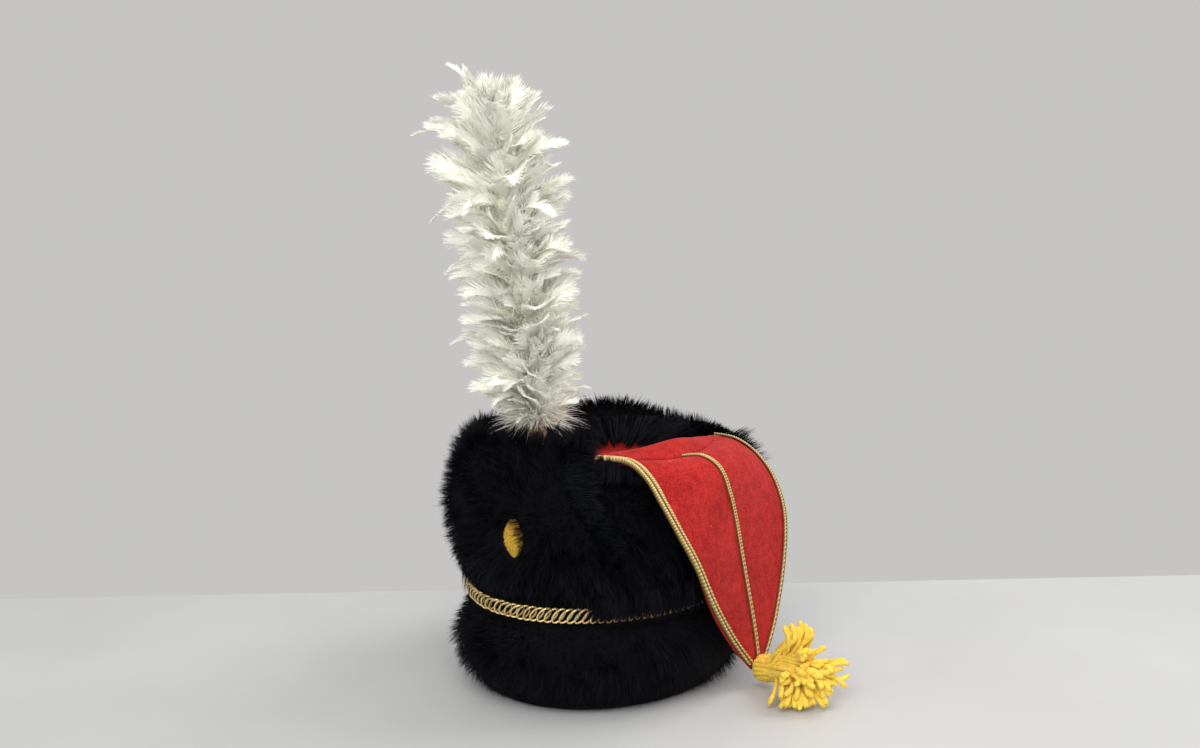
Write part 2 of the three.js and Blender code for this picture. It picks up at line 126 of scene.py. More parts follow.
def drift(a: Array, b: Array, seed: float) -> Array:
    """Return a slow repeatable wander between about -1 and 1 over two measures.

    Args:
        a: First measure, in radians of its slowest wave.
        b: Second measure, in the same.
        seed: Number that tells one wander from another.

    Returns:
        The wander at each place.
    """
    waves = ((1.0, 1.0, 0.9), (2.0, -1.3, 0.6), (3.0, 2.1, 0.5), (5.0, -2.9, 0.35), (7.0, 4.3, 0.25))
    total = np.zeros(np.broadcast(a, b).shape)
    for k, (along, across, size) in enumerate(waves):
        total = total + size * np.sin(along * a + across * b + seed * (k + 1.7) * 2.3)
    return total / 1.6


def between_rows(rows: Array, place: Array) -> Array:
    """Return values on a smooth line through rows of them.

    Args:
        rows: The values, one set in a row.
        place: Where to read, counted in rows from 0.

    Returns:
        One set of values for each place.
    """
    last = len(rows) - 1
    k = np.minimum(place.astype(int), last - 1)
    f = (place - k)[..., None]
    a, b, c, d = (rows[np.clip(k + i, 0, last)] for i in (-1, 0, 1, 2))
    bend = (2 * a - 5 * b + 4 * c - d) * f**2 + (3 * b - a - 3 * c + d) * f**3
    return 0.5 * (2 * b + (c - a) * f + bend)


class Table:
    """A short table with named columns, read smoothly between its rows."""

    def __init__(self, columns: str, rows: Sequence[Sequence[float]]) -> None:
        """Keep the rows under their columns' names."""
        self.columns = columns.split()
        self.rows = np.array(rows, float)

    def at(self, share: Array) -> dict[str, Array]:
        """Return every column's value at a share, 0 to 1, of the way down the rows."""
        value = between_rows(self.rows, np.clip(share, 0, 1) * (len(self.rows) - 1))
        return {name: value[..., i] for i, name in enumerate(self.columns)}

    def column(self, name: str) -> Array:
        """Return one column's values, one for each row."""
        return self.rows[:, self.columns.index(name)]


@dataclass(frozen=True)
class Box:
    """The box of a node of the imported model."""

    low: Array
    high: Array

    @classmethod
    def of(cls, node: str) -> "Box":
        """Return a node's box."""
        return cls(*(np.array(corner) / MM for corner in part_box(node)))

    @property
    def middle(self) -> Array:
        """The box's middle."""
        return (self.low + self.high) / 2

    @property
    def size(self) -> Array:
        """The box's width, length and height."""
        return self.high - self.low


# ---------------------------------------------------------------- meshes


def link(name: str, data: bpy.types.ID) -> bpy.types.Object:
    """Return a new object in the scene that shows some data."""
    made = bpy.data.objects.new(name, data)
    bpy.context.collection.objects.link(made)
    return made


@dataclass
class Shape:
    """Points and faces of a mesh in the making, with three marks at each point.

    The mark `along` runs from 0 at a strand's root to 1 at its tip, `across` from -1 to 1 over a
    feather's vane, and `pick` is one number for a whole strand: random, but on fur hairs mostly
    the painted sheen of their patch of hair.
    """

    points: list[Array] = field(default_factory=list)
    faces: list[Array] = field(default_factory=list)
    marks: list[Array] = field(default_factory=list)
    count: int = 0

    def add(
        self,
        mesh: Mesh,
        along: Array | float = 0.0,
        pick: Array | float = 0.0,
        across: Array | float = 0.0,
    ) -> None:
        """Add points with the faces between them.

        Args:
            mesh: Points, one in a row, and arrays of faces with three or four point numbers in a row.
            along: Mark `along` of each point, or of all.
            pick: Mark `pick` of each point, or of all.
            across: Mark `across` of each point, or of all.
        """
        points, faces = mesh
        self.points.append(points)
        self.faces += [part + self.count for part in faces]
        self.marks.append(np.stack([np.broadcast_to(mark, len(points)) for mark in (along, pick, across)]))
        self.count += len(points)

    def build(self, name: str, material: Material, node: str, slot: Slot) -> bpy.types.Object:
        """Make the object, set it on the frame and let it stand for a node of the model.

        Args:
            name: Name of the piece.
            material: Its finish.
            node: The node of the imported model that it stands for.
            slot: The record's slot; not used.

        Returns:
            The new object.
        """
        mesh = bpy.data.meshes.new(name)
        loops = np.concatenate([part.ravel() for part in self.faces])
        sizes = np.concatenate([np.full(len(part), part.shape[1]) for part in self.faces])
        starts = np.cumsum(sizes) - sizes
        mesh.vertices.add(self.count)
        mesh.vertices.foreach_set("co", (np.concatenate(self.points) * MM).astype(np.float32).ravel())
        mesh.loops.add(len(loops))
        mesh.loops.foreach_set("vertex_index", loops.astype(np.int32))
        mesh.polygons.add(len(sizes))
        mesh.polygons.foreach_set("loop_start", starts.astype(np.int32))
        mesh.polygons.foreach_set("use_smooth", np.ones(len(sizes), bool))
        mesh.update(calc_edges=True)
        for key, values in zip(("along", "pick", "across"), np.concatenate(self.marks, 1)):
            layer = mesh.attributes.new(key, "FLOAT", "POINT")
            layer.data.foreach_set("value", values.astype(np.float32))
        mesh.validate()
        mesh.materials.append(material)
        piece = link(name, mesh)
        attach(piece, "root")
        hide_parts(node)
        log.info("%s: %d triangles", name, int((sizes - 2).sum()))
        return piece


def grid_faces(rows: int, columns: int, wrap_rows: bool = False, wrap_columns: bool = False) -> Array:
    """Return the quads between rows and columns of points, numbered row by row.

    Args:
        rows: How many rows there are.
        columns: How many points a row has.
        wrap_rows: Whether the last row joins the first.
        wrap_columns: Whether a row's last point joins its first.

    Returns:
        Four point numbers in a row for each quad.
    """
    row = np.arange(rows if wrap_rows else rows - 1)
    column = np.arange(columns if wrap_columns else columns - 1)
    i, j = (part.ravel() for part in np.meshgrid(row, column, indexing="ij"))
    below, beside = (i + 1) % rows, (j + 1) % columns
    corners = (i * columns + j, i * columns + beside, below * columns + beside, below * columns + j)
    return np.stack(corners, 1)


def capped(rings: Array, ends: Array | None = None, flip: bool = False) -> Mesh:
    """Join a stack of rings and close it at both ends.

    Args:
        rings: Rings by points round each by three.
        ends: Middle points of the first and the last cap; the end rings' own middles if left out.
        flip: Whether the faces look the other way.

    Returns:
        The points and the faces.
    """
    steps, sides, _ = rings.shape
    ends = rings[[0, -1]].mean(1) if ends is None else ends
    ring = np.arange(sides)
    after, last = (ring + 1) % sides, (steps - 1) * sides
    first_cap = np.stack([after, ring, np.full(sides, steps * sides)], 1)
    last_cap = np.stack([ring + last, after + last, np.full(sides, steps * sides + 1)], 1)
    faces = [grid_faces(steps, sides, wrap_columns=True), first_cap, last_cap]
    return np.concatenate([rings.reshape(-1, 3), ends]), [part[:, ::-1] if flip else part for part in faces]


def rings_round(path: Array, side: Array, up: Array, radius: Array) -> Array:
    """Return rings of points round a path.

    Args:
        path: The centre line, one point in a row.
        side: Unit vectors across it.
        up: Unit vectors across both.
        radius: Its radius at each point of the path and at each side round it.

    Returns:
        Rings by points round each by three.
    """
    turn = turns(radius.shape[1])[:, None]
    away = side[:, None] * np.cos(turn) + up[:, None] * np.sin(turn)
    return path[:, None] + away * radius[..., None]


def tube(path: Array, radius: Array) -> Mesh:
    """Make a closed tube along a path, without twist.

    Args:
        path: Its centre line, one point in a row.
        radius: Its radius at each point of the path and at each side round it.

    Returns:
        The points and the faces.
    """
    ahead = unit(np.gradient(path, axis=0))
    side = np.empty_like(path)
    start = np.cross(ahead[0], UP)
    side[0] = unit(start if np.linalg.norm(start) > 0.1 else np.array((1.0, 0.0, 0.0)))
    for i in range(1, len(path)):
        side[i] = unit(side[i - 1] - ahead[i] * np.dot(side[i - 1], ahead[i]))
    return capped(rings_round(path, side, np.cross(ahead, side), radius), path[[0, -1]])


def ribbons(spine: Array, side: Array, width: Array) -> Mesh:
    """Make many flat strips that end in points.

    Args:
        spine: Middle points, strips by stations by three; the last station is the tip.
        side: Unit vectors across, strips by stations but one by three.
        width: Widths, strips by stations but one, or one for each station but the last.

    Returns:
        The points, strip by strip, and the faces.
    """
    strips, stations, _ = spine.shape
    half = side * width[..., None] / 2
    body = np.stack([spine[:, :-1] - half, spine[:, :-1] + half], 2).reshape(strips, -1, 3)
    points = np.concatenate([body, spine[:, -1:]], 1).reshape(-1, 3)
    each = 2 * stations - 1
    start = (np.arange(strips) * each)[:, None]
    quads = [start + np.array([2 * k, 2 * k + 1, 2 * k + 3, 2 * k + 2]) for k in range(stations - 2)]
    tip = start + np.array([each - 3, each - 2, each - 1])
    return points, [np.concatenate(quads), tip]


def add_ribbons(shape: Shape, spine: Array, side: Array, width: Array, pick: Array) -> None:
    """Add strips to a shape, with their marks.

    Args:
        shape: The shape that gets them.
        spine: Middle points, strips by stations by three.
        side: Unit vectors across, as in ribbons.
        width: Widths, as in ribbons.
        pick: One random number for each strip.
    """
    strips, stations, _ = spine.shape
    each = np.append(np.repeat(np.linspace(0, 1, stations)[:-1], 2), 1.0)
    shape.add(ribbons(spine, side, width), np.tile(each, strips), np.repeat(pick, len(each)))


def arcs(root: Array, bend: Array, tip: Array) -> Array:
    """Return middle lines that start at their roots toward a bend and end at their tips."""
    t = np.array([0.0, 0.4, 0.74, 1.0])[:, None]
    return root[:, None] * (1 - t) ** 2 + bend[:, None] * 2 * t * (1 - t) + tip[:, None] * t**2


FIBRE_STATIONS = np.array((0.0, 0.4, 0.75, 1.0))
FIBRE_TAPER = np.array((1.0, 0.8, 0.5))


def scatter_side(ahead: Array, rng: Random) -> Array:
    """Return a random unit vector across each direction, one for each of three stations."""
    return unit(np.cross(ahead, rng.normal(size=ahead.shape)))[:, None].repeat(3, 1)


# ---------------------------------------------------------------- shader graphs


class Graph:
    """Adds nodes to a material or to a node group, and joins them."""

    def __init__(self, tree: bpy.types.NodeTree) -> None:
        """Keep the tree that the nodes go into."""
        self.tree = tree

    def fill(self, node: bpy.types.Node, inputs: dict[str | int, object]) -> None:
        """Set a node's inputs, or join them to sockets.

        Args:
            node: The node.
            inputs: Numbers, colours or sockets, by the input's name or number.
        """
        for key, value in inputs.items():
            socket = node.inputs[key]
            if isinstance(value, Socket):
                self.tree.links.new(value, socket)
            else:
                socket.default_value = (*value, 1.0) if socket.type == "RGBA" else value

    def node(
        self, kind: str, inputs: dict[str | int, object] | None = None, **settings: object
    ) -> bpy.types.Node:
        """Add a node.

        Args:
            kind: The node's type.
            inputs: Numbers, colours or sockets, by the input's name or number.
            **settings: Values for its own properties.

        Returns:
            The node.
        """
        made = self.tree.nodes.new(kind)
        for key, value in settings.items():
            setattr(made, key, value)
        self.fill(made, inputs or {})
        return made

    def group(self, name: str, inputs: dict[str | int, object]) -> bpy.types.NodeOutputs:
        """Add one of the shared node groups and return its outputs."""
        return self.node("ShaderNodeGroup", inputs, node_tree=bpy.data.node_groups[name]).outputs

    def mark(self, name: str) -> Socket:
        """Return one of the marks that a mesh has at its points."""
        return self.node("ShaderNodeAttribute", attribute_name=name).outputs["Fac"]

    def place(self) -> Socket:
        """Return the place on the object."""
        return self.node("ShaderNodeTexCoord").outputs["Object"]

    def noise(self, place: Socket, scale: object, detail: float = 3.0) -> Socket:
        """Return the value of a noise at a place."""
        inputs = {"Vector": place, "Scale": scale, "Detail": detail}
        return self.node("ShaderNodeTexNoise", inputs).outputs["Fac"]

    def ramp(self, value: Socket, low: float, high: float) -> Socket:
        """Return a value stretched from between low and high to between 0 and 1."""
        inputs = {"Value": value, "From Min": low, "From Max": high}
        return self.node("ShaderNodeMapRange", inputs).outputs["Result"]

    def blend(self, share: object, a: object, b: object) -> Socket:
        """Return the colour that is a at share 0 and b at share 1."""
        return self.node("ShaderNodeMix", {0: share, 6: a, 7: b}, data_type="RGBA").outputs[2]

    def sum(self, kind: str, a: object, b: object) -> Socket:
        """Return the result of a sum on two values, such as ADD or MULTIPLY."""
        return self.node("ShaderNodeMath", {0: a, 1: b}, operation=kind).outputs[0]

    def bump(self, height: Socket, strength: float, depth: float) -> Socket:
        """Return the normal of a relief with a depth in metres."""
        inputs = {"Height": height, "Strength": strength, "Distance": depth}
        return self.node("ShaderNodeBump", inputs).outputs["Normal"]


def new_group(name: str, inputs: str, outputs: str) -> tuple[Graph, bpy.types.NodeOutputs, bpy.types.Node]:
    """Start a shader node group.

    Args:
        name: The group's name.
        inputs: Names of the inputs, each with its kind, as in "Root:Color Turn:Float".
        outputs: The same of the outputs.

    Returns:
        A graph to fill the group, the sockets of its inputs and its output node.
    """
    tree = bpy.data.node_groups.new(name, "ShaderNodeTree")
    for sockets, way in ((inputs, "INPUT"), (outputs, "OUTPUT")):
        for label, kind in (socket.split(":") for socket in sockets.split()):
            tree.interface.new_socket(label, in_out=way, socket_type="NodeSocket" + kind)
    graph = Graph(tree)
    return graph, graph.node("NodeGroupInput").outputs, graph.node("NodeGroupOutput")


class Effects:
    """The node groups that more than one finish uses, each built once."""

    def build(self) -> None:
        """Build the groups."""
        self.make_strand()
        self.make_nap()
        self.make_lint()
        self.make_polish()

    def make_strand(self) -> None:
        """Make the group that shades a strand from root to tip and one strand from the next."""
        inputs = "Root:Color Tip:Color Odd:Color Turn:Float Vary:Float"
        graph, given, out = new_group("strand_shade", inputs, "Color:Color Pick:Float")
        pick = graph.mark("pick")
        share = graph.sum("POWER", graph.mark("along"), given["Turn"])
        base = graph.blend(share, given["Root"], given["Tip"])
        odd = graph.sum("MULTIPLY", pick, given["Vary"])
        graph.fill(out, {"Color": graph.blend(odd, base, given["Odd"]), "Pick": pick})

    def make_nap(self) -> None:
        """Make the group for short matted fibres: colour from light to dark and a height."""
        inputs = "Dark:Color Light:Color Scale:Float Cloud:Float"
        graph, given, out = new_group("felt_nap", inputs, "Color:Color Height:Float")
        place = graph.place()
        fine = graph.noise(place, given["Scale"], 4.0)
        coarse = graph.noise(place, graph.sum("MULTIPLY", given["Scale"], 0.23))
        wide = graph.noise(place, given["Cloud"], 2.0)
        both = graph.sum("ADD", graph.sum("MULTIPLY", fine, 0.62), graph.sum("MULTIPLY", coarse, 0.38))
        tone = graph.sum("ADD", graph.ramp(both, 0.42, 0.58), graph.ramp(wide, 0.3, 0.9))
        share = graph.sum("MULTIPLY", tone, 0.6)
        graph.fill(out, {"Color": graph.blend(share, given["Dark"], given["Light"]), "Height": both})

    def make_lint(self) -> None:
        """Make the group that lays stray pale fibres and dust specks over a colour."""
        inputs = "Color:Color Speck:Color Scale:Float Amount:Float"
        graph, given, out = new_group("lint_specks", inputs, "Color:Color Mask:Float")
        place = graph.place()
        warp = graph.node("ShaderNodeTexNoise", {"Vector": place, "Scale": 90.0}).outputs["Color"]
        bent = graph.node("ShaderNodeMixRGB", {0: 0.012, 1: place, 2: warp}).outputs[0]
        cells = graph.node("ShaderNodeTexVoronoi", {"Vector": bent, "Scale": given["Scale"]}).outputs
        kept = graph.node("ShaderNodeSeparateColor", {0: cells["Color"]}).outputs[0]
        shown = graph.sum("LESS_THAN", kept, given["Amount"])
        mask = graph.sum("MULTIPLY", graph.ramp(cells["Distance"], 0.1, 0.04), shown)
        graph.fill(out, {"Color": graph.blend(mask, given["Color"], given["Speck"]), "Mask": mask})

    def make_polish(self) -> None:
        """Make the group for bright rubbed edges and dull hollows on gilt thread and metal."""
        inputs = "Bright:Color Dull:Color Scale:Float Rough:Float"
        graph, given, out = new_group("gilt_polish", inputs, "Color:Color Roughness:Float")
        edge = graph.ramp(graph.node("ShaderNodeNewGeometry").outputs["Pointiness"], 0.42, 0.58)
        stain = graph.ramp(graph.noise(graph.place(), given["Scale"], 4.0), 0.3, 0.75)
        share = graph.sum("MULTIPLY", graph.sum("ADD", edge, stain), 0.5)
        rough = graph.sum("ADD", given["Rough"], graph.sum("MULTIPLY", stain, 0.18))
        colour = graph.blend(share, given["Dull"], given["Bright"])
        graph.fill(out, {"Color": colour, "Roughness": rough})


# ---------------------------------------------------------------- finishes


@dataclass(frozen=True, kw_only=True)
class Finish:
    """A finish that one Principled shader shows."""

    name: str
    roughness: float = 0.95
    specular: float = 0.15
    metallic: float = 0.0
    sheen: float = 0.0
    sheen_roughness: float = 0.5
    sheen_tint: Colour = (1.0, 1.0, 1.0)

    def own_values(self, graph: Graph) -> dict[str, object]:
        """Return the shader's inputs that only this kind of finish has."""
        raise NotImplementedError

    def material(self) -> Material:
        """Make a material with this finish.

        Returns:
            The new material.
        """
        values = {
            "Roughness": self.roughness,
            "Specular IOR Level": self.specular,
            "Metallic": self.metallic,
            "Sheen Weight": self.sheen,
            "Sheen Roughness": self.sheen_roughness,
            "Sheen Tint": self.sheen_tint,
        }
        material = bpy.data.materials.new(self.name)
        material.use_nodes = True
        graph = Graph(material.node_tree)
        graph.fill(material.node_tree.nodes["Principled BSDF"], values | self.own_values(graph))
        return material


@dataclass(frozen=True, kw_only=True)
class StrandFinish(Finish):
    """Finish of loose strands: hair, barbs or fibres, shaded from root to tip."""

    root: Colour
    tip: Colour
    odd: Colour
    turn: float = 1.0
    vary: float = 0.3
    roughness: float = 0.6
    specular: float = 0.3
    sheen_roughness: float = 0.4

    def strand(self, graph: Graph) -> bpy.types.NodeOutputs:
        """Return the outputs of the strand group with this finish's colours."""
        colours = {"Root": self.root, "Tip": self.tip, "Odd": self.odd}
        return graph.group("strand_shade", {**colours, "Turn": self.turn, "Vary": self.vary})

    def own_values(self, graph: Graph) -> dict[str, object]:
        """Return the colour and the roughness, which differs from one strand to the next.

        Args:
            graph: The material's graph.

        Returns:
            The inputs by name.
        """
        strand = self.strand(graph)
        rough = graph.sum("ADD", graph.sum("MULTIPLY", strand["Pick"], 0.15), self.roughness)
        return {"Base Color": strand["Color"], "Roughness": rough}


@dataclass(frozen=True, kw_only=True)
class FeatherFinish(StrandFinish):
    """Finish of a soft feather: fine barbs that run out and forward from the quill."""

    # Painted shade in the lines between the barbs.
    groove_shade: Colour
    turn: float = 0.6
    vary: float = 0.5
    roughness: float = 0.7
    specular: float = 0.1
    sheen: float = 0.3
    sheen_roughness: float = 0.5
    groove_share: float = 0.34
    barbs: float = 42.0
    rake: float = 7.0
    glow: float = 0.15

    def own_values(self, graph: Graph) -> dict[str, object]:
        """Return the shader's inputs for barbs in relief with painted shade between them, and for light that
        soaks in.

        Args:
            graph: The material's graph.

        Returns:
            The inputs by name.
        """
        strand = self.strand(graph)
        across = graph.mark("across")
        edge = graph.node("ShaderNodeMath", {0: across}, operation="ABSOLUTE").outputs[0]
        row = graph.sum("MULTIPLY", graph.mark("along"), self.barbs)
        swept = graph.sum("SUBTRACT", row, graph.sum("MULTIPLY", edge, self.rake))
        other = graph.sum("MULTIPLY", strand["Pick"], 97.0)
        place = graph.node("ShaderNodeCombineXYZ", {0: swept, 1: other, 2: across}).outputs[0]
        line = graph.noise(place, 1.0, 2.0)
        # Painted shade: the lines between the barbs blend toward the creamy groove colour.
        share = graph.sum("MULTIPLY", graph.ramp(line, 0.62, 0.3), self.groove_share)
        relief = graph.sum("ADD", line, graph.ramp(edge, 0.07, 0.0))
        return {
            "Base Color": graph.blend(share, strand["Color"], self.groove_shade),
            "Subsurface Weight": self.glow,
            "Subsurface Radius": (0.004, 0.004, 0.0035),
            "Subsurface Scale": 1.0,
            "Normal": graph.bump(relief, 0.4, 0.0006),
        }


@dataclass(frozen=True, kw_only=True)
class FeltFinish(Finish):
    """Finish of matted wool felt with a short nap and a little lint."""

    dark: Colour
    light: Colour
    speck: Colour
    sheen: float = 0.35
    scale: float = 760.0
    cloud: float = 22.0
    lint: float = 0.02
    lint_scale: float = 260.0
    relief: float = 0.6

    def own_values(self, graph: Graph) -> dict[str, object]:
        """Return the shader's inputs for the nap, the lint and a sheen near the light colour.

        Args:
            graph: The material's graph.

        Returns:
            The inputs by name.
        """
        shades = {"Dark": self.dark, "Light": self.light, "Scale": self.scale, "Cloud": self.cloud}
        nap = graph.group("felt_nap", shades)
        specks = {"Color": nap["Color"], "Speck": self.speck, "Scale": self.lint_scale, "Amount": self.lint}
        return {
            "Base Color": graph.group("lint_specks", specks)["Color"],
            "Sheen Tint": tuple(min(1.0, 1.3 * c + 0.1) for c in self.light),
            "Normal": graph.bump(nap["Height"], self.relief, 0.0008),
        }


@dataclass(frozen=True, kw_only=True)
class YarnFinish(StrandFinish):
    """Finish of spun wool: soft fibres, and one strand a little darker than the next."""

    turn: float = 0.8
    vary: float = 0.55
    roughness: float = 0.95
    specular: float = 0.15
    sheen: float = 0.4
    sheen_roughness: float = 0.5
    sheen_tint: Colour = (1.0, 0.85, 0.45)
    scale: float = 1400.0
    cloud: float = 60.0

    def own_values(self, graph: Graph) -> dict[str, object]:
        """Return the shader's inputs for the nap of wool over the strand's colour.

        Args:
            graph: The material's graph.

        Returns:
            The inputs by name.
        """
        shades = {"Dark": (0.72, 0.66, 0.6), "Light": (1.12, 1.1, 1.08)}
        nap = graph.group("felt_nap", {**shades, "Scale": self.scale, "Cloud": self.cloud})
        both = {0: 1.0, 1: self.strand(graph)["Color"], 2: nap["Color"]}
        return {
            "Base Color": graph.node("ShaderNodeMixRGB", both, blend_type="MULTIPLY").outputs[0],
            "Normal": graph.bump(nap["Height"], 0.7, 0.0006),
        }


@dataclass(frozen=True, kw_only=True)
class GiltFinish(Finish):
    """Finish of gilt metal or metallic thread, bright on its edges, with painted shade in its hollows and on
    shaded sides.
    """

    bright: Colour
    dull: Colour
    # Painted shade for the low places, where the mark `along` is 0.
    groove_shade: Colour
    specular: float = 0.5
    scale: float = 400.0
    grain: float = 2600.0
    relief: float = 0.3

    def own_values(self, graph: Graph) -> dict[str, object]:
        """Return the shader's inputs, with painted shade where the mark `along` falls to 0.

        Args:
            graph: The material's graph.

        Returns:
            The inputs by name.
        """
        colours = {"Bright": self.bright, "Dull": self.dull}
        polish = graph.group("gilt_polish", {**colours, "Scale": self.scale, "Rough": self.roughness})
        return {
            # Painted shade: where `along` is 0 the colour is the dark groove colour.
            "Base Color": graph.blend(graph.mark("along"), self.groove_shade, polish["Color"]),
            "Roughness": polish["Roughness"],
            "Normal": graph.bump(graph.noise(graph.place(), self.grain), self.relief, 0.0003),
        }


@dataclass(frozen=True, kw_only=True)
class FloorFinish(Finish):
    """Finish of the pale floor, with faint smudges."""

    light: Colour
    roughness: float = 0.55
    specular: float = 0.3

    def own_values(self, graph: Graph) -> dict[str, object]:
        """Return the colour, a little darker in the smudges."""
        smudge = graph.ramp(graph.noise(graph.place(), 6.0, 5.0), 0.35, 0.7)
        return {"Base Color": graph.blend(smudge, tuple(0.94 * c for c in self.light), self.light)}


# Painted sheen: the odd colour, a lighter blue-grey, falls on whole patches of hair and stands for the sheen
# on lit clumps; a little of it is random tone.
FUR = StrandFinish(
    name="black_fur_hair",
    root=(0.0006, 0.0007, 0.0012),
    tip=(0.001, 0.0013, 0.0028),
    odd=(0.0115, 0.0125, 0.018),
    vary=0.85,
    roughness=0.5,
    specular=0.08,
)
# Painted shade: the creamy root colour and the groove colour stand for the olive-cream shade deep in the
# plume and between the barbs.
FEATHER = FeatherFinish(
    name="off_white_feather",
    root=(0.9, 0.885, 0.7),
    tip=(0.955, 0.955, 0.91),
    odd=(0.95, 0.94, 0.84),
    groove_shade=(0.85, 0.835, 0.66),
)
COCKADE_FLUFF = StrandFinish(
    name="yellow_cockade_fluff",
    root=(0.55, 0.3, 0.02),
    tip=(0.86, 0.6, 0.09),
    odd=(0.7, 0.46, 0.05),
    vary=0.6,
    roughness=0.8,
    sheen=0.3,
)
BINDING = StrandFinish(
    name="golden_brown_thread",
    root=(0.28, 0.13, 0.015),
    tip=(0.72, 0.45, 0.1),
    odd=(0.4, 0.2, 0.03),
    vary=0.7,
    roughness=0.65,
    sheen=0.3,
)
PELT = FeltFinish(
    name="black_pelt",
    dark=(0.001, 0.001, 0.0015),
    light=(0.003, 0.003, 0.005),
    speck=(0.01, 0.01, 0.01),
    sheen=0.0,
    lint=0.0,
)
RED_FELT = FeltFinish(
    name="red_wool_felt",
    dark=(0.24, 0.006, 0.006),
    light=(0.55, 0.028, 0.023),
    speck=(0.72, 0.42, 0.36),
)
SHELL_FELT = FeltFinish(
    name="black_shell_felt",
    dark=(0.006, 0.006, 0.006),
    light=(0.02, 0.019, 0.019),
    speck=(0.2, 0.2, 0.2),
)
WOOL = YarnFinish(
    name="yellow_wool_yarn",
    root=(0.9, 0.58, 0.04),
    tip=(0.98, 0.76, 0.12),
    odd=(0.94, 0.64, 0.06),
)
# Painted shade: the dark groove colour fills the braid's middle groove, its edges, the dips of its plait and
# its underside.
BRAID_GOLD = GiltFinish(
    name="gold_thread_braid",
    bright=(1.0, 0.8, 0.36),
    dull=(0.7, 0.45, 0.11),
    groove_shade=(0.1, 0.045, 0.008),
    metallic=0.2,
    roughness=0.4,
)
# Painted shade: the dark groove colour falls on each link's wire on the side toward the fur.
CHAIN_GOLD = GiltFinish(
    name="gilt_chain_metal",
    bright=(1.0, 0.87, 0.48),
    dull=(0.9, 0.64, 0.24),
    groove_shade=(0.12, 0.06, 0.012),
    metallic=0.5,
    roughness=0.24,
    scale=120.0,
    relief=0.1,
)
PALE_FLOOR = FloorFinish(name="pale_floor", light=(0.57, 0.57, 0.57))


# ---------------------------------------------------------------- shell


@dataclass(frozen=True)
class Shell:
    """The stiff oval shell inside the fur, from which everything else is measured."""

    half_width: float
    half_length: float
    height: float
    material: Material
    thick: float = 2.5
    flare: float = 4.0
    columns: int = 160

    def beside(self, angle: Array, height: Array | float, out: Array | float) -> Array:
        """Return points beside the shell.

        Args:
            angle: Angle round it, 0 at the wearer's left and a quarter turn at the front.
            height: Height above the rim.
            out: Distance out from the wall.

        Returns:
            The points.
        """
        shrink = self.flare * (1 - height / self.height)
        a, b = self.half_width - shrink, self.half_length - shrink
        cos, sin = np.cos(angle), np.sin(angle)
        away = unit(np.stack(np.broadcast_arrays(cos / a, -sin / b), -1))
        x = a * cos + out * away[..., 0]
        y = -b * sin + out * away[..., 1]
        return np.stack(np.broadcast_arrays(x, y, height * np.ones_like(x)), -1)

    def build(self) -> None:
        """Make the shell as a smooth wall with soft edges."""
        corners = ((-self.thick, 0.5), (-self.thick / 2, 0.0), (0.0, 0.5))
        section = [*corners, *((out, self.height - z) for out, z in reversed(corners))]
        rings = [self.beside(turns(self.columns), z, out) for out, z in section]
        shape = Shape()
        shape.add((np.concatenate(rings), [grid_faces(len(rings), self.columns, True, True)]))
        shape.build("shell_wall", self.material, "foundation", Slot.SHELL)


# ---------------------------------------------------------------- bag, crown and braid


@dataclass(frozen=True)
class Span:
    """A stretch of angles with soft ends, between a rear and a front end."""

    front: Array | float
    front_end: Array | float
    rear: Array | float
    rear_end: Array | float

    def at(self, angle: Array) -> Array:
        """Return 1 inside the stretch and 0 from its ends on."""
        before = smooth((angle - self.front) / (self.front_end - self.front))
        behind = smooth((angle - self.rear) / (self.rear_end - self.rear))
        return 1 - np.where(angle > 0, before, behind)


@dataclass(frozen=True)
class BagForm:
    """The face of the hanging bag, and points off it."""

    rows: Table = Table(
        "height out side half tuck_front tuck_rear lift_front lift_rear",
        [
            (181, 87, -8, 78.5, 32, 25, 9, 0),
            (182, 101, -5, 73.5, 26, 19, 6, -2),
            (174, 112, -2, 74.5, 22, 15, 4, -4),
            (156, 117, 1, 74.5, 16, 7, 4, -2),
            (134, 119, 5, 71.5, 9, 0, 4, -1),
            (110, 120, 9, 64.5, 2, -3.5, 2, 1),
            (77, 121, 16, 51, 1, -3, 0, 0),
            (42, 123, 22, 29.5, 2, -2, 0, 0),
            (11, 124.5, 25.5, 3.5, 1.5, -1.5, 0, 0),
        ],
    )
    seam_front: float = 0.95
    seam_rear: float = -0.82

    def face(self, down: Array, across: Array) -> Array:
        """Return points of the face.

        Args:
            down: Share of the way from the seam to the tip.
            across: From -1 at the rear edge to 1 at the front edge.

        Returns:
            The points.
        """
        row = self.rows.at(down)
        front, rear = np.maximum(across, 0) ** 2, np.maximum(-across, 0) ** 2
        x = row["out"] - row["tuck_front"] * front - row["tuck_rear"] * rear
        y = row["side"] - row["half"] * across
        z = row["height"] + row["lift_front"] * front + row["lift_rear"] * rear
        return np.stack([x, y, z], -1)

    def point(self, down: Array, across: Array, offset: Array | float) -> Array:
        """Return points at a distance off the face.

        Args:
            down: Share of the way from the seam to the tip.
            across: From -1 at the rear edge to 1 at the front edge.
            offset: Distance out from the face.

        Returns:
            The points.
        """
        step = 0.01
        run = self.face(np.minimum(down + step, 1), across) - self.face(np.maximum(down - step, 0), across)
        side = self.face(down, across - step) - self.face(down, across + step)
        normal = unit(np.cross(side, run))
        return self.face(down, across) - normal * np.asarray(offset)[..., None]

    def inset(self, down: Array, distance: float) -> Array:
        """Return how far across a line runs that keeps a distance inside the edge."""
        return 1 - distance / self.rows.at(down)["half"]


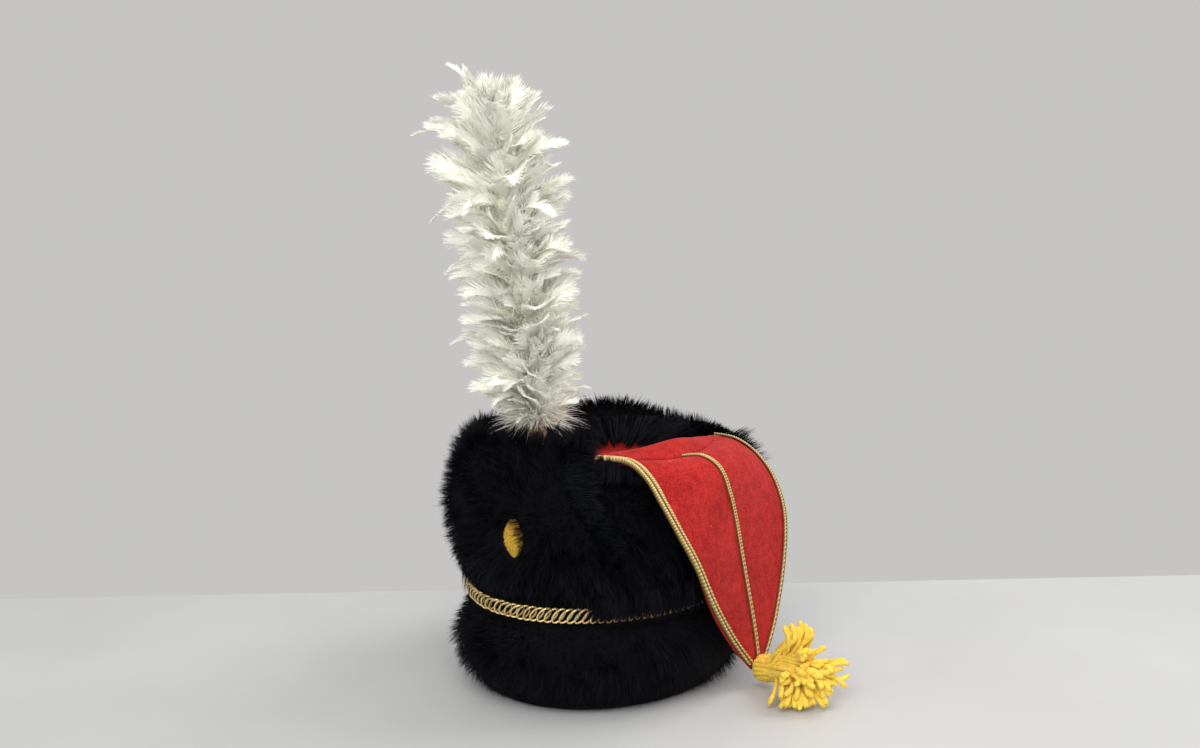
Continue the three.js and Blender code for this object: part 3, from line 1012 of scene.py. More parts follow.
@dataclass(frozen=True)
class Bag:
    """The two felt leaves of the bag."""

    form: BagForm
    material: Material
    felt: float = 1.8
    leaf_gap: float = 1.0
    edge: float = 0.8
    overhang: float = 2.0
    steps: int = 90
    strips: int = 30
    ripple: float = 0.35

    def leaf(self, name: str, node: str, bottom: float, overhang: float) -> None:
        """Args:
            name: Name of the piece.
            node: The node that it stands for.
            bottom: Distance of its inner face from the bag's face.
            overhang: How far its front edge shows past the other leaf.
        """
        down = np.linspace(0, 1, self.steps)[:, None]
        across = np.sin(np.linspace(-FRONT, FRONT, self.strips))[None]
        half = self.felt / 2 * np.sqrt(1 - np.abs(across) ** 30)
        wave = self.ripple * drift(down * 5, across * 2.2, 3.0) * smooth(down * 8) * (1 - 0.6 * down)
        shown = mix(-1.5, 1, smooth((down - 0.55) / 0.3)) * overhang
        past = np.where(across > 0.9, shown / self.form.rows.at(down)["half"], 0)
        place = across * self.form.inset(down, self.edge) + past
        level = bottom + self.felt / 2 + wave
        spread = np.broadcast_to(down, place.shape)
        top = self.form.point(spread, place, level + half)
        under = self.form.point(spread, place, level - half)[:, ::-1]
        shape = Shape()
        shape.add(capped(np.concatenate([top, under], 1)))
        piece = shape.build(name, self.material, node, Slot.RED)

    def build(self) -> None:
        """Make both leaves."""
        self.leaf("bag_outer_leaf", "bag_outer_panel", 0.0, 0.0)
        self.leaf("bag_inner_leaf", "bag_inner_panel", -self.felt - self.leaf_gap, self.overhang)


@dataclass(frozen=True)
class Crown:
    """The felt top of the cap, which climbs to the seam of the bag."""

    shell: Shell
    form: BagForm
    material: Material
    gap: float = 0.35
    seat: float = 1.2
    dip: float = 9.0
    thick: float = 2.0
    slope: float = 0.44
    ridge: float = 0.84
    seam_gap: float = 0.35
    front_end: float = 0.985
    rear_end: float = -0.87
    soft: float = 0.8
    billow: float = 11.0
    billow_share: float = 0.84
    billow_spread: float = 0.2
    billow_angle: float = 0.08
    ripple: float = 0.5
    rings: int = 40

    def climbs(self, angle: Array, share: Array) -> Array:
        """Return 1 where the crown climbs to the bag's seam and 0 where it stays on the shell."""
        soft = self.soft * (1 - share)
        front, rear = self.form.seam_front - soft, self.form.seam_rear + soft
        return Span(front, self.front_end, rear, self.rear_end).at(angle)

    def rim(self, angle: Array, share: Array) -> Array:
        """Return where the crown climbs to: the shell's top, or the seam of the bag.

        Args:
            angle: Angles round the crown.
            share: Shares of the way from its middle; further in, the climb has softer ends.

        Returns:
            The points.
        """
        angle, share = np.broadcast_arrays(angle, share)
        lower = self.shell.beside(angle, self.shell.height + self.gap, -self.seat)
        place = np.where(angle < 0, angle / -self.form.seam_rear, angle / self.form.seam_front)
        seam = self.form.face(np.zeros_like(angle), np.clip(place, -1, 1))
        outward = unit(seam * np.array([1, 1, 0]))
        return mix(lower, seam - outward * self.seam_gap, self.climbs(angle, share)[..., None])

    def build(self) -> None:
        angle = wrap(turns(self.shell.columns))[None]
        level = self.shell.height + self.gap
        share = np.linspace(0.04, 1, self.rings)[:, None]
        rim = self.rim(angle, share)
        climb = smooth((share - self.slope) / (self.ridge - self.slope))
        billow = hump(share, self.billow_share, self.billow_spread) * hump(angle, self.billow_angle, 1.0)
        billow = self.billow * billow * self.climbs(angle, share)
        height = mix(level - self.dip * (1 - share**3), rim[..., 2], climb) + billow
        height = height + self.ripple * drift(angle * 2, share * 5, 8.0) * (1 - share)
        under = np.concatenate([rim[..., :2] * share[..., None], height[..., None]], -1)
        above = under + self.thick * UP
        low = UP * (level - self.dip)
        ends = np.stack([low, low + self.thick * UP])
        shape = Shape()
        shape.add(capped(np.concatenate([under, above[::-1]]), ends, flip=True))
        crown = shape.build("felt_crown", self.material, "crown_top", Slot.RED)


class BagLine(Enum):
    """The lines of the bag that braid follows, by their side: 1 at the front, -1 at the rear."""

    FRONT_EDGE = 1
    CENTRE = 0
    REAR_EDGE = -1


@dataclass(frozen=True)
class Braid:
    """A flat plaited braid with two ribs, sewn along a line on the bag."""

    form: BagForm
    material: Material
    name: str
    node: str
    line: BagLine
    width: float = 6.4
    start: float = 0.0
    end: float = 0.955
    base: float = 2.4
    thick: float = 1.5
    pitch: float = 2.7
    weave: float = 0.3
    strips: int = 17
    swerve: float = 0.13
    wrap: float = 0.0
    start_wrap: float = 0.0
    taper: float = 1.0
    wrap_drop: float = 2.6
    # Mark `along` of the underside: mostly the painted groove shade.
    dark: float = 0.3

    def middle(self, down: Array) -> Array:
        """Return where the braid's middle lies across the bag: 1 front, -1 rear, 0 centre."""
        if self.line is BagLine.CENTRE:
            return self.swerve * (1 - down)
        return self.line.value * self.form.inset(down, self.width / 2)

    def build(self) -> None:
        """Make the braid, with its edge wrapped over the felt's edge."""
        rough = np.linspace(self.start, self.end, 60)
        length = walked(self.form.point(rough, self.middle(rough), self.base))[-1]
        steps = int(4 * length / self.pitch)
        share = np.linspace(0, 1, steps)[:, None]
        down = mix(self.start, self.end, share)
        across = np.linspace(-1, 1, self.strips)[None]
        rib = np.sqrt(np.maximum(1 - ((np.abs(across) - 0.56) / 0.44) ** 2, 0))
        phase = FULL_TURN * share * length / self.pitch
        plait = np.sin(phase - 2.4 * np.abs(2 * np.abs(across) - 1))
        side = self.line.value or 1
        wrapped = self.wrap + self.start_wrap * (1 - smooth(share / 0.13))
        over = smooth((across * side - 1 + 2 * wrapped) / (2 * wrapped + 0.01))
        lower = self.base - self.wrap_drop * over
        height = lower + self.thick * (0.35 + 0.6 * rib) + self.weave * plait * rib
        full = mix(self.taper, 1.0, smooth(share / 0.12))
        wide = self.width * full * (1 + 0.03 * np.sin(phase + across * 2)) / 2
        past = side * self.width * wrapped * (1 - 0.75 * over)
        place = self.middle(down) + (across * wide + past) / self.form.rows.at(down)["half"]
        spread, lower = np.broadcast_to(down, place.shape), np.broadcast_to(lower, place.shape)
        top = self.form.point(spread, place, height)
        under = self.form.point(*(part[:, ::8] for part in (spread, place, lower)))[:, ::-1]
        # Painted shade: the braid's middle groove, its edges and the dips of its plait take the dark groove
        # colour, and its underside is mostly that colour.
        raised = np.clip(1.4 * rib**2 * (0.6 + 0.4 * plait), 0, 1)
        along = np.concatenate([raised, np.full(under.shape[:2], self.dark)], 1)
        shape = Shape()
        shape.add(capped(np.concatenate([top, under], 1)), np.append(along.ravel(), [self.dark] * 2))
        shape.build(self.name, self.material, self.node, Slot.BRAID)


# ---------------------------------------------------------------- fur


@dataclass(frozen=True)
class Bulge:
    """How much higher the crest stands round an angle."""

    height: float
    angle: float
    spread: float

    def at(self, angle: Array) -> Array:
        """Return the extra height at an angle."""
        return self.height * hump(wrap(angle - self.angle), 0.0, self.spread)


@dataclass(frozen=True)
class FurCoat:
    """The long fur round the shell, as a dark pelt with clumped hairs over it."""

    shell: Shell
    form: BagForm
    cockade: Box
    chain_height: float
    hair: Material
    skin: Material
    seed: int = 7
    rows: Table = Table(
        "out height pressed_out pressed_height depth lean",
        [
            (5, 0.6, 5, 0.6, 3, 0.2),
            (12, 5, 12, 5, 7, -0.1),
            (22, 18, 21, 18, 11, -0.45),
            (27, 34, 26, 34, 12, -0.5),
            (23, 49, 22, 49, 11, -0.5),
            (15, 62, 14, 62, 8, -0.3),
            (8.8, 70, 8.8, 70, 4, 0.0),
            (8.8, 84, 8.8, 84, 4, -0.5),
            (17, 90, 15, 90, 8, -0.7),
            (23, 101, 20, 100, 11, -0.6),
            (26.5, 116, 22, 113, 12, -0.4),
            (28, 132, 22.5, 127, 12, -0.3),
            (27.5, 148, 21.5, 140, 12, -0.1),
            (25.5, 164, 19, 152, 12, 0.1),
            (21, 179, 15, 162, 12, 0.3),
            (12, 192, 10, 170, 12, 0.2),
            (1, 198, 5.5, 175, 12, 0.1),
            (-10, 193, 3, 176.4, 10, 0.1),
            (-17, 182, 1.6, 175.6, 6, 0.0),
            (-19, 173, 0.9, 174, 2, -0.2),
        ],
    )
    bands: tuple[tuple[str, float, float, int, int], ...] = (
        ("hem_band", 0.0, 0.37, 17000, 14000),
        ("body", 0.37, 0.68, 20000, 16000),
        ("crest", 0.68, 1.0, 22000, 21000),
    )
    press_high: Span = Span(0.985, 1.03, -0.87, -0.93)
    press_low: Span = Span(0.5, 0.8, -0.62, -0.85)
    press_from: float = 120.0
    press_to: float = 165.0
    crest_base: float = 120.0
    bulges: tuple[Bulge, ...] = (
        Bulge(11.0, 1.6, 1.05),
        Bulge(3.5, 2.7, 0.9),
        Bulge(5.5, -2.15, 0.7),
        Bulge(-9.0, -1.3, 0.9),
        Bulge(-9.0, -0.86, 0.42),
    )
    notch: float = 0.62
    notch_spread: float = 0.3
    seam_lift: float = 6.0
    lump: float = 1.3
    clump: float = 5.6
    hair_width: float = 0.4
    full_depth: float = 12.0
    stray_share: float = 0.16
    skin_columns: int = 168
    skin_rows: int = 52
    skin_depth: float = 0.62
    skin_gap: float = 0.35
    pocket_depth: float = 19.5
    veil_hairs: int = 14000
    crown_hairs: int = 8500
    under_hairs: int = 4500
    fringe_hairs: int = 9000

    def press(self, height: Array) -> Span:
        """Return the angles between which the bag presses the fur at a height."""
        high = smooth((height - self.press_from) / (self.press_to - self.press_from))
        pairs = zip(astuple(self.press_low), astuple(self.press_high))
        return Span(*(mix(low, top, high) for low, top in pairs))

    def pressed(self, angle: Array, height: Array) -> Array:
        """Return how far the bag presses the fur down: 0 where it is free, 1 under the bag."""
        return self.press(height).at(angle)

    def section(self, angle: Array, share: Array) -> Array:
        """Return points of the coat's outer form.

        Args:
            angle: Angle round the shell.
            share: Share of the way from the hem, over the crest, to the crown.

        Returns:
            The points.
        """
        angle = wrap(angle)
        row = self.rows.at(share)
        press = self.pressed(angle, row["pressed_height"])
        inside = row["out"] < 0
        kept = np.where(inside, mix(1, self.notch, hump(angle, FRONT, self.notch_spread)), 1)
        heights = self.rows.column("height")
        top, foot = heights.max(), heights[-1]
        climb = np.maximum(row["height"] - self.crest_base, 0) / (top - self.crest_base)
        high = np.where(inside, (row["height"] - foot) / (top - foot), climb**2)
        swell = sum(bulge.at(angle) for bulge in self.bulges)
        upper = smooth((row["pressed_height"] - self.shell.height + 20) / 25)
        lift = self.seam_lift * np.maximum(angle / self.form.seam_front, 0) ** 2 * upper
        out = mix(row["out"] * kept, row["pressed_out"], press)
        height = mix(row["height"] + swell * high, row["pressed_height"] + lift, press)
        lump = self.lump * drift(angle * 4, share * 21, 1.0) * smooth(row["depth"] / 8) * (1 - 0.7 * press)
        return self.shell.beside(angle, height, out + lump)

    def axes(self, angle: Array, share: Array) -> tuple[Array, Array, Array, Array]:
        """Return the coat's point and its own directions at each place.

        Args:
            angle: Angle round the shell.
            share: Share of the section.

        Returns:
            The points, the outward normals, the runs up the section and the runs round the coat.
        """
        step = 0.008
        above, below = np.minimum(share + step, 1), np.maximum(share - step, 0)
        run = unit(self.section(angle, above) - self.section(angle, below))
        side = unit(self.section(angle + step, share) - self.section(angle - step, share))
        return self.section(angle, share), unit(np.cross(run, side)), run, side

    def from_cockade(self, points: Array) -> Array:
        """Return the ways from the cockade's middle, seen from the front, at length 1 on its edge."""
        return (points[..., [0, 2]] - self.cockade.middle[[0, 2]]) / (self.cockade.size[[0, 2]] / 2)

    def parting(self, points: Array) -> Array:
        """Return how far points are from the cockade's middle, seen from the front: 1 at its edge."""
        return np.where(points[..., 1] < 0, np.linalg.norm(self.from_cockade(points), axis=-1), 9.0)

    def pelt(self) -> None:
        """Make the dark skin under the hairs, closed along the shell."""
        angle = turns(self.skin_columns)
        turn, place = np.broadcast_arrays(angle[None], np.linspace(0, 1, self.skin_rows)[:, None])
        here, normal, _, _ = self.axes(turn, place)
        depth = self.rows.at(place)["depth"] * self.skin_depth
        pocket = smooth((1.55 - self.parting(here)) / 0.35)
        skin = here - normal * mix(depth, self.pocket_depth, pocket)[..., None]
        skin[..., 2] = np.maximum(skin[..., 2], 0.6)
        hem, wall = (self.shell.beside(angle, row[:, 2], self.skin_gap) for row in skin[[0, -1]])
        rings = np.concatenate([hem[None], skin, wall[None]])
        shape = Shape()
        shape.add((rings.reshape(-1, 3), [grid_faces(len(rings), self.skin_columns, True, True)[:, ::-1]]))
        shape.build("fur_pelt", self.skin, "fur_cover", Slot.FUR)

    def flare(self, angle: Array, height: Array) -> Array:
        """Return how much longer the hair is behind the bag, at the plume's foot and at the hem.

        Args:
            angle: Angle of each hair.
            height: Height of each hair.

        Returns:
            The extra lengths.
        """
        rear = 10.0 * hump(angle, -0.92, 0.26) * hump(height, 158.0, 28.0)
        high = smooth((height - 182.0) / 10.0)
        foot = (12.0 * hump(angle, 1.3, 0.55) + 4.0 * hump(angle, 2.5, 0.7)) * high
        low = 1 - smooth((height - 4.0) / 24.0)
        hem = 4.0 * hump(height, 44.0, 16.0) + low * (9.0 * hump(angle, -0.2, 0.6) - 3.0)
        return rear + foot + hem

    def ways(
        self, angle: Array, share: Array, lean: Array | float = 0.0, sweep: Array | float = 0.0
    ) -> tuple[Array, Array, Array]:
        """Return the coat's point, the way the hair points there and its depth under the form.

        Args:
            angle: Angle of each place.
            share: Share of the section of each place.
            lean: Extra lean up the coat.
            sweep: Extra lean round the coat.

        Returns:
            The points, the directions and the depths.
        """
        turn = wrap(angle)
        here, normal, run, side = self.axes(angle, share)
        row = self.rows.at(share)
        press = self.pressed(turn, row["pressed_height"])
        slope = row["lean"] + 0.3 * drift(angle * 3, share * 14, 5.0) + lean - 0.25 * press
        toward_bag = hump(turn, 1.04, 0.2) * smooth((here[..., 2] - 160) / 20)
        across = 0.35 * drift(angle * 3, share * 10, 9.0) + sweep - 0.7 * toward_bag
        way = unit(normal + run * slope[..., None] + side * across[..., None])
        return here, way, row["depth"]

    def hairs(self, name: str, low: float, high: float, count: int, back: bool) -> None:
        """Make half of one band of hairs, drawn together in pointed tufts.

        Args:
            name: Name of the piece.
            low: Share of the section where the band starts.
            high: Share where it ends.
            count: Number of hairs.
            back: Whether it is the half at the back, which gets simpler hairs.
        """
        rng = np.random.default_rng(self.seed + count)
        angle = math.pi * back + rng.uniform(0, math.pi, count)
        share = rng.uniform(low, high, count)
        hidden = self.pressed(wrap(angle), self.rows.at(share)["pressed_height"])
        kept = rng.random(count) > 0.7 * hidden * hump(wrap(angle), 0.05, 0.75)
        spine = self.tufted(angle[kept], share[kept], rng)
        spine = self.part_round_cockade(spine[self.parting(spine[:, 0]) > 1.02], rng)
        count = len(spine)
        x, y, _ = spine[:, 0].T
        turn = wrap(np.arctan2(-y / self.shell.half_length, x / self.shell.half_width))
        lift = (1.5 + 6.5 * hump(turn, 1.1, 1.0)) * rng.uniform(0.3, 1.4, count)
        floor = 0.5 + 0.8 * rng.random(count)
        spine[..., 2] = np.maximum(spine[..., 2], floor[:, None] + lift[:, None] * np.linspace(0, 1, 4))
        self.strands(name, spine[:, (0, 2, 3)] if back else spine, rng)

    def strands(self, name: str, spine: Array, rng: Random) -> None:
        """Make a piece of hairs.

        Args:
            name: Name of the piece.
            spine: Middle lines of the hairs.
            rng: Random numbers.
        """
        count = len(spine)
        ahead = unit(spine[:, 1:] - spine[:, :-1])
        across = scatter_side(ahead[:, 0], rng)[:, :1]
        side = unit(across - ahead * np.sum(across * ahead, -1, keepdims=True))
        taper = np.linspace(1.0, 0.5, spine.shape[1] - 1)
        width = self.hair_width * rng.uniform(0.55, 1.3, count)[:, None] * taper
        x, y, z = spine[:, 0].T
        # Painted sheen: hairs in one patch a few millimetres wide share most of their pick, so the fur's
        # lighter odd colour falls on whole patches; the rest is random tone.
        sheen_patch = 0.5 + 0.5 * drift((x + y) / 6, z / 6, 2.0) + 0.4 * drift((x - y) / 23, z / 19, 6.0)
        pick = np.clip(0.3 * rng.random(count) + 0.7 * sheen_patch, 0, 1) ** 1.5
        shape = Shape()
        add_ribbons(shape, spine, side, width, pick)
        shape.build(name, self.hair, "fur_cover", Slot.FUR)

    def tufted(self, angle: Array, share: Array, rng: Random) -> Array:
        """Return the middle lines of hairs that bend toward the tips of their tufts.

        Args:
            angle: Angle of each hair's place.
            share: Share of the section of each hair's place.
            rng: Random numbers.

        Returns:
            The lines, hairs by stations by three.
        """
        count = len(angle)
        here, way, depth = self.ways(angle, share)
        flare = self.flare(wrap(angle), here[:, 2])
        short = depth / self.full_depth
        root = here - way * (depth * 0.95)[:, None]
        mid_angle, mid_share, (stand, lean, sweep) = self.tuft_centres(angle, share)
        past = (7.5 * stand**2 + 0.4) * short + flare * (0.4 + 0.6 * stand)
        mid_here, mid_way, _ = self.ways(mid_angle, mid_share, 0.5 * (lean - 0.5), 0.7 * (sweep - 0.5))
        tuft = mid_here + mid_way * past[:, None]
        stray = rng.random(count) < self.stray_share
        over = rng.normal(1.0, 1.2, count) + stray * rng.uniform(0.5, 5.0, count)
        own = here + way * (over * short + flare * rng.uniform(0.3, 1.0, count))[:, None]
        pull = np.where(stray, rng.uniform(0.0, 0.3, count), rng.uniform(0.6, 0.93, count))
        length = np.where(stray, 1.0, 1 - 0.32 * rng.random(count) ** 1.5)
        tip = root + (mix(own, tuft, pull[:, None]) - root) * length[:, None]
        reach = np.linalg.norm(tip - root, axis=-1, keepdims=True)
        bend = root + way * reach * 0.55 + rng.normal(0, 0.6, (count, 3)) * short[:, None]
        return arcs(root, bend, tip)

    def tuft_centres(self, angle: Array, share: Array) -> tuple[Array, Array, Array]:
        """Find the middle of the nearest tuft for each hair.

        Args:
            angle: Angle of each hair's place.
            share: Share of the section of each hair's place.

        Returns:
            Angle and share of the tufts' middles, and three numbers from 0 to 1 of each tuft.
        """
        around, along = int(730 / self.clump), int(265 / self.clump)
        u, v = np.mod(angle, FULL_TURN) / FULL_TURN * around, share * along
        best = np.full(len(angle), np.inf)
        found = np.zeros((5, len(angle)))
        for i, j in ((i, j) for i in (-1, 0, 1) for j in (-1, 0, 1)):
            cell_u, cell_v = np.floor(u) + i, np.floor(v) + j
            seed = np.sin(np.mod(cell_u, around) * 127.1 + cell_v * 311.7) * 43758.5453
            at_u = cell_u + 0.5 + 0.85 * (np.mod(seed, 1) - 0.5)
            at_v = cell_v + 0.5 + 0.85 * (np.mod(seed * 7.3, 1) - 0.5)
            gap = (at_u - u) ** 2 + (at_v - v) ** 2
            own = np.stack([at_u, at_v, *(np.mod(seed * k, 1) for k in (3.1, 11.7, 17.9))])
            found = np.where(gap < best, own, found)
            best = np.minimum(gap, best)
        return found[0] / around * FULL_TURN, np.clip(found[1] / along, 0, 1), found[2:]

    def part_round_cockade(self, spine: Array, rng: Random) -> Array:
        """Push the hairs in front of the cockade aside, so that it shows.

        Args:
            spine: Points of the hairs.
            rng: Random numbers.

        Returns:
            The points, moved.
        """
        flat = self.from_cockade(spine)
        root_way = unit(flat[:, :1])
        rise = np.clip((self.cockade.middle[1] - spine[..., 1]) / 12, 0, 1)
        over = np.maximum(0.7 * root_way[..., 0] + 0.7 * root_way[..., 1], 0)
        want = rng.uniform(1.0, 1.2, (len(spine), 1)) + 0.35 * rise - 0.3 * over**2
        want = want + 0.3 * rise * np.maximum(root_way[..., 0], 0) * (root_way[..., 1] < 0.3)
        inside = (np.linalg.norm(flat, axis=-1) < want) & (spine[..., 1] < 0)
        moved = self.cockade.middle[[0, 2]] + root_way * want[..., None] * self.cockade.size[[0, 2]] / 2
        spine[..., [0, 2]] = np.where(inside[..., None], moved, spine[..., [0, 2]])
        return spine

    def over_chain(self, rng: Random) -> Array:
        """Return hairs that hang over the chain, thin at the front right and thick by the bag.

        Args:
            rng: Random numbers.

        Returns:
            Their middle lines.
        """
        count = self.veil_hairs
        near_bag = rng.random(count) < 0.4
        angle = np.where(near_bag, rng.uniform(-0.3, 1.0, count), rng.uniform(0, FULL_TURN, count))
        turn = wrap(angle)
        shown = smooth((turn - 0.88) / 0.2) * (1 - smooth((turn - 2.6) / 0.3))
        angle = angle[rng.random(count) < mix(0.95, 0.07, shown)]
        count = len(angle)
        level = rng.uniform(8.0, 17.0, count)
        root = self.shell.beside(angle, self.chain_height + level, 7.0 + 0.45 * level)
        reach = 15.0 + 3.5 * rng.random(count)
        below = rng.uniform(-9.0, 3.0, count)
        tip = self.shell.beside(angle + rng.normal(0, 0.03, count), self.chain_height + below, reach)
        bend = self.shell.beside(angle, self.chain_height + 0.5 * level + 1, reach + 1.5)
        return arcs(root, bend, tip)

    def over_crown(self, rng: Random) -> Array:
        """Return hairs that hang from the crest's inner side over the crown's edge.

        Args:
            rng: Random numbers.

        Returns:
            Their middle lines.
        """
        count, groups = self.crown_hairs, 21
        far = rng.random(count) < 0.5
        angle = np.where(far, rng.uniform(3.5, 5.1, count), rng.uniform(2.0, FULL_TURN - 1.15, count))
        group = np.floor(angle * groups + rng.normal(0, 0.3, count)).astype(int)
        reach, drop, turn = rng.random((3, 200))[:, group]
        middle = (group + 0.5) / groups + 0.12 * (turn - 0.5)
        level = self.shell.height
        root = self.shell.beside(angle, level + rng.uniform(2, 19, count), -12 - 5 * rng.random(count))
        bend = self.shell.beside(angle, level + rng.uniform(2, 18, count), -24 - 8 * rng.random(count))
        inward = -32 - 18 * reach - 12 * rng.random(count)
        aside = mix(angle, middle, rng.uniform(0.2, 0.9, count))
        tip = self.shell.beside(aside, level - 4 + 6 * drop + rng.uniform(-1, 3, count), inward)
        return arcs(root, bend, tip)

    def under_bag(self, rng: Random) -> Array:
        """Return hairs that stand up against the bag's underside by its front corner.

        Args:
            rng: Random numbers.

        Returns:
            Their middle lines.
        """
        count = self.under_hairs
        angle = rng.uniform(0.55, 1.08, count)
        share = rng.uniform(0.78, 0.92, count)
        here, normal, _, side = self.axes(angle, share)
        reach, lean = rng.random((2, 80))[:, np.floor(angle * 60).astype(int)]
        rise = (10 + 7 * reach) * rng.uniform(0.6, 1, count) * smooth((angle - 0.5) / 0.3)
        tip = here + normal * rng.uniform(-1, 2, count)[:, None] + UP * rise[:, None]
        return arcs(here - normal * 5.0, here + normal * 4.0, tip - side * (4 * lean)[:, None])

    def beside_bag(self, rng: Random) -> Array:
        """Return hairs that bulge past the bag's front corner and its rear edge.

        Args:
            rng: Random numbers.

        Returns:
            Their middle lines.
        """
        count = self.fringe_hairs
        share = rng.uniform(0.52, 0.97, count)
        front = rng.random(count) < 0.6
        press = self.press(self.rows.at(share)["pressed_height"])
        angle = np.where(front, press.front_end, press.rear_end)
        angle = angle + np.where(front, rng.uniform(0.0, 0.14, count), rng.uniform(-0.16, -0.01, count))
        here, normal, _, side = self.axes(angle, share)
        reach, lift = rng.random((2, 240))[:, np.floor(share * 110).astype(int) + 120 * front]
        high = smooth((here[:, 2] - 150) / 30)
        toward = side * np.where(front, -1, 0.5)[:, None]
        over = np.where(front, 6 + 13 * high * mix(0.6, 1, reach), 4 + 6 * reach)
        rear_out = (11 + 15 * lift) * (1 - 0.85 * smooth((here[:, 2] - 168) / 12))
        out = np.where(front, 1 + 3 * lift, rear_out) * rng.uniform(0.5, 1, count)
        root = here - normal * rng.uniform(3, 10, count)[:, None]
        tip = here + toward * (over * rng.uniform(0.6, 1, count))[:, None] + normal * out[:, None]
        tip[:, 2] += rng.normal(0, 1.2, count)
        bend = here + normal * (0.6 * out)[:, None] + toward * (0.25 * over)[:, None]
        return arcs(root, bend, tip)

    def build(self) -> None:
        """Make the pelt, every band of hairs and the hairs over the other pieces."""
        self.pelt()
        for band, low, high, front, back in self.bands:
            self.hairs(f"fur_{band}_front", low, high, front, False)
            self.hairs(f"fur_{band}_back", low, high, back, True)
        for name, own_seed, lines in (
            ("fur_over_chain", 3, self.over_chain),
            ("fur_over_crown", 5, self.over_crown),
            ("fur_under_bag", 17, self.under_bag),
            ("fur_beside_bag", 11, self.beside_bag),
        ):
            rng = np.random.default_rng(self.seed + own_seed)
            self.strands(name, lines(rng), rng)


# ---------------------------------------------------------------- chain, holder and cockade


@dataclass(frozen=True)
class ChinChain:
    """A curb chain whose links lie flat and slanted, all round the cap."""

    shell: Shell
    height: float
    material: Material
    links: int = 122
    offset: float = 12.1
    long: float = 6.6
    short: float = 3.1
    slant: float = math.radians(50)
    wire: float = 0.85
    overlap: float = 2.5
    curl: float = 0.35
    steps: int = 18
    sides: int = 6
    seed: int = 21

    def link(self, angle: float, rng: Random) -> Mesh:
        """Return one link of bent wire.

        Args:
            angle: Its angle round the cap.
            rng: Random numbers.

        Returns:
            The points and the faces.
        """
        near = angle + np.array([-0.002, 0, 0.002])
        before, middle, after = self.shell.beside(near, self.height, self.offset)
        ahead = unit(after - before)
        out = np.cross(UP, ahead) * np.sign(np.dot(np.cross(UP, ahead), middle))
        slant = self.slant + rng.normal(0, 0.05)
        long = UP * math.sin(slant) - ahead * math.cos(slant)
        short = ahead * math.sin(slant) + UP * math.cos(slant)
        phase = turns(self.steps)[:, None]
        twist = self.overlap * np.sin(phase) + self.curl * np.sin(2 * phase) + rng.normal(0, 0.1)
        path = middle + self.long * np.cos(phase) * long + self.short * np.sin(phase) * short + out * twist
        run = unit(np.roll(path, -1, 0) - np.roll(path, 1, 0))
        side = unit(np.cross(run, out))
        rings = rings_round(path, side, np.cross(side, run), np.full((self.steps, self.sides), self.wire))
        return rings.reshape(-1, 3), [grid_faces(self.steps, self.sides, True, True)]

    def build(self) -> None:
        """Make the links at even steps along the chain's way."""
        turn = np.linspace(0, FULL_TURN, 721)
        way = walked(self.shell.beside(turn, self.height, self.offset))
        # Painted shade: each wire takes the dark groove colour on its side toward the fur and is lighter on
        # its outer side.
        raised = np.tile(smooth(0.4 + 0.6 * np.sin(turns(self.sides))), self.steps)
        rng = np.random.default_rng(self.seed)
        shape = Shape()
        for angle in np.interp(np.arange(self.links) * way[-1] / self.links, way, turn):
            shape.add(self.link(angle, rng), raised, rng.random())
        shape.build("curb_chain_links", self.material, "chin_chain", Slot.GILT)


@dataclass(frozen=True)
class PlumeHolder:
    """The socket of the plume, wound with fuzzy golden-brown thread."""

    box: Box
    material: Material
    radius: float = 5.0
    rim: float = 6.0
    thread: float = 0.62
    wound: int = 26
    turn_steps: int = 26
    sides: int = 6
    core_steps: int = 24
    fibres: int = 2200
    fibre_width: float = 0.28
    fuzzy: float = 17.0
    seed: int = 31

    def off_axis(self, away: Array, height: Array) -> Array:
        """Return points on the holder at some ways out from its axis and at some heights."""
        axis = self.box.middle * (1, 1, 0)
        return axis + away * self.profile(height)[:, None] + UP * height[:, None]

    def profile(self, height: Array) -> Array:
        """Return the radius at a height, with a swelling under the top."""
        below = self.box.high[2] - height
        swell = (self.rim - self.radius) * hump(below, 5.0, 5.0)
        return self.radius + swell - 2.2 * smooth(1 - below / 2.5)

    def build(self) -> None:
        """Make the core, the windings and the loose fibres as one piece."""
        bottom, top = self.box.low[2], self.box.high[2]
        height = np.linspace(bottom, top - 0.4, self.core_steps)
        core = self.off_axis(np.zeros((self.core_steps, 3)), height)
        shape = Shape()
        shape.add(tube(core, np.repeat(self.profile(height)[:, None] - 0.2, 24, 1)), 0.1, 0.5)
        turn = np.linspace(0, FULL_TURN * self.wound, self.wound * self.turn_steps)
        winding = self.off_axis(aim(turn), mix(bottom + 0.8, top - 1.2, turn / turn[-1]))
        thick = self.thread * (1 + 0.12 * np.sin(turn * 5))
        shape.add(tube(winding, np.repeat(thick[:, None], self.sides, 1)), 0.55, 0.3)
        self.add_fuzz(shape)
        shape.build("plume_binding", self.material, "plume_holder", Slot.BINDING)

    def add_fuzz(self, shape: Shape) -> None:
        """Add the fuzz that stands off the thread.

        Args:
            shape: The shape that gets it.
        """
        rng = np.random.default_rng(self.seed)
        away = aim(rng.uniform(0, FULL_TURN, self.fibres))
        top = self.box.high[2]
        root = self.off_axis(away, rng.uniform(top - self.fuzzy, top - 0.5, self.fibres))
        way = unit(away + rng.normal(0, 0.55, (self.fibres, 3)) - 0.2 * UP)
        reach = rng.uniform(1.2, 3.4, self.fibres)[:, None] * FIBRE_STATIONS
        spine = root[:, None] + way[:, None] * reach[..., None]
        spine[..., 2] -= 0.25 * reach * FIBRE_STATIONS
        side = scatter_side(way, rng)
        add_ribbons(shape, spine, side, self.fibre_width * FIBRE_TAPER, rng.random(self.fibres))


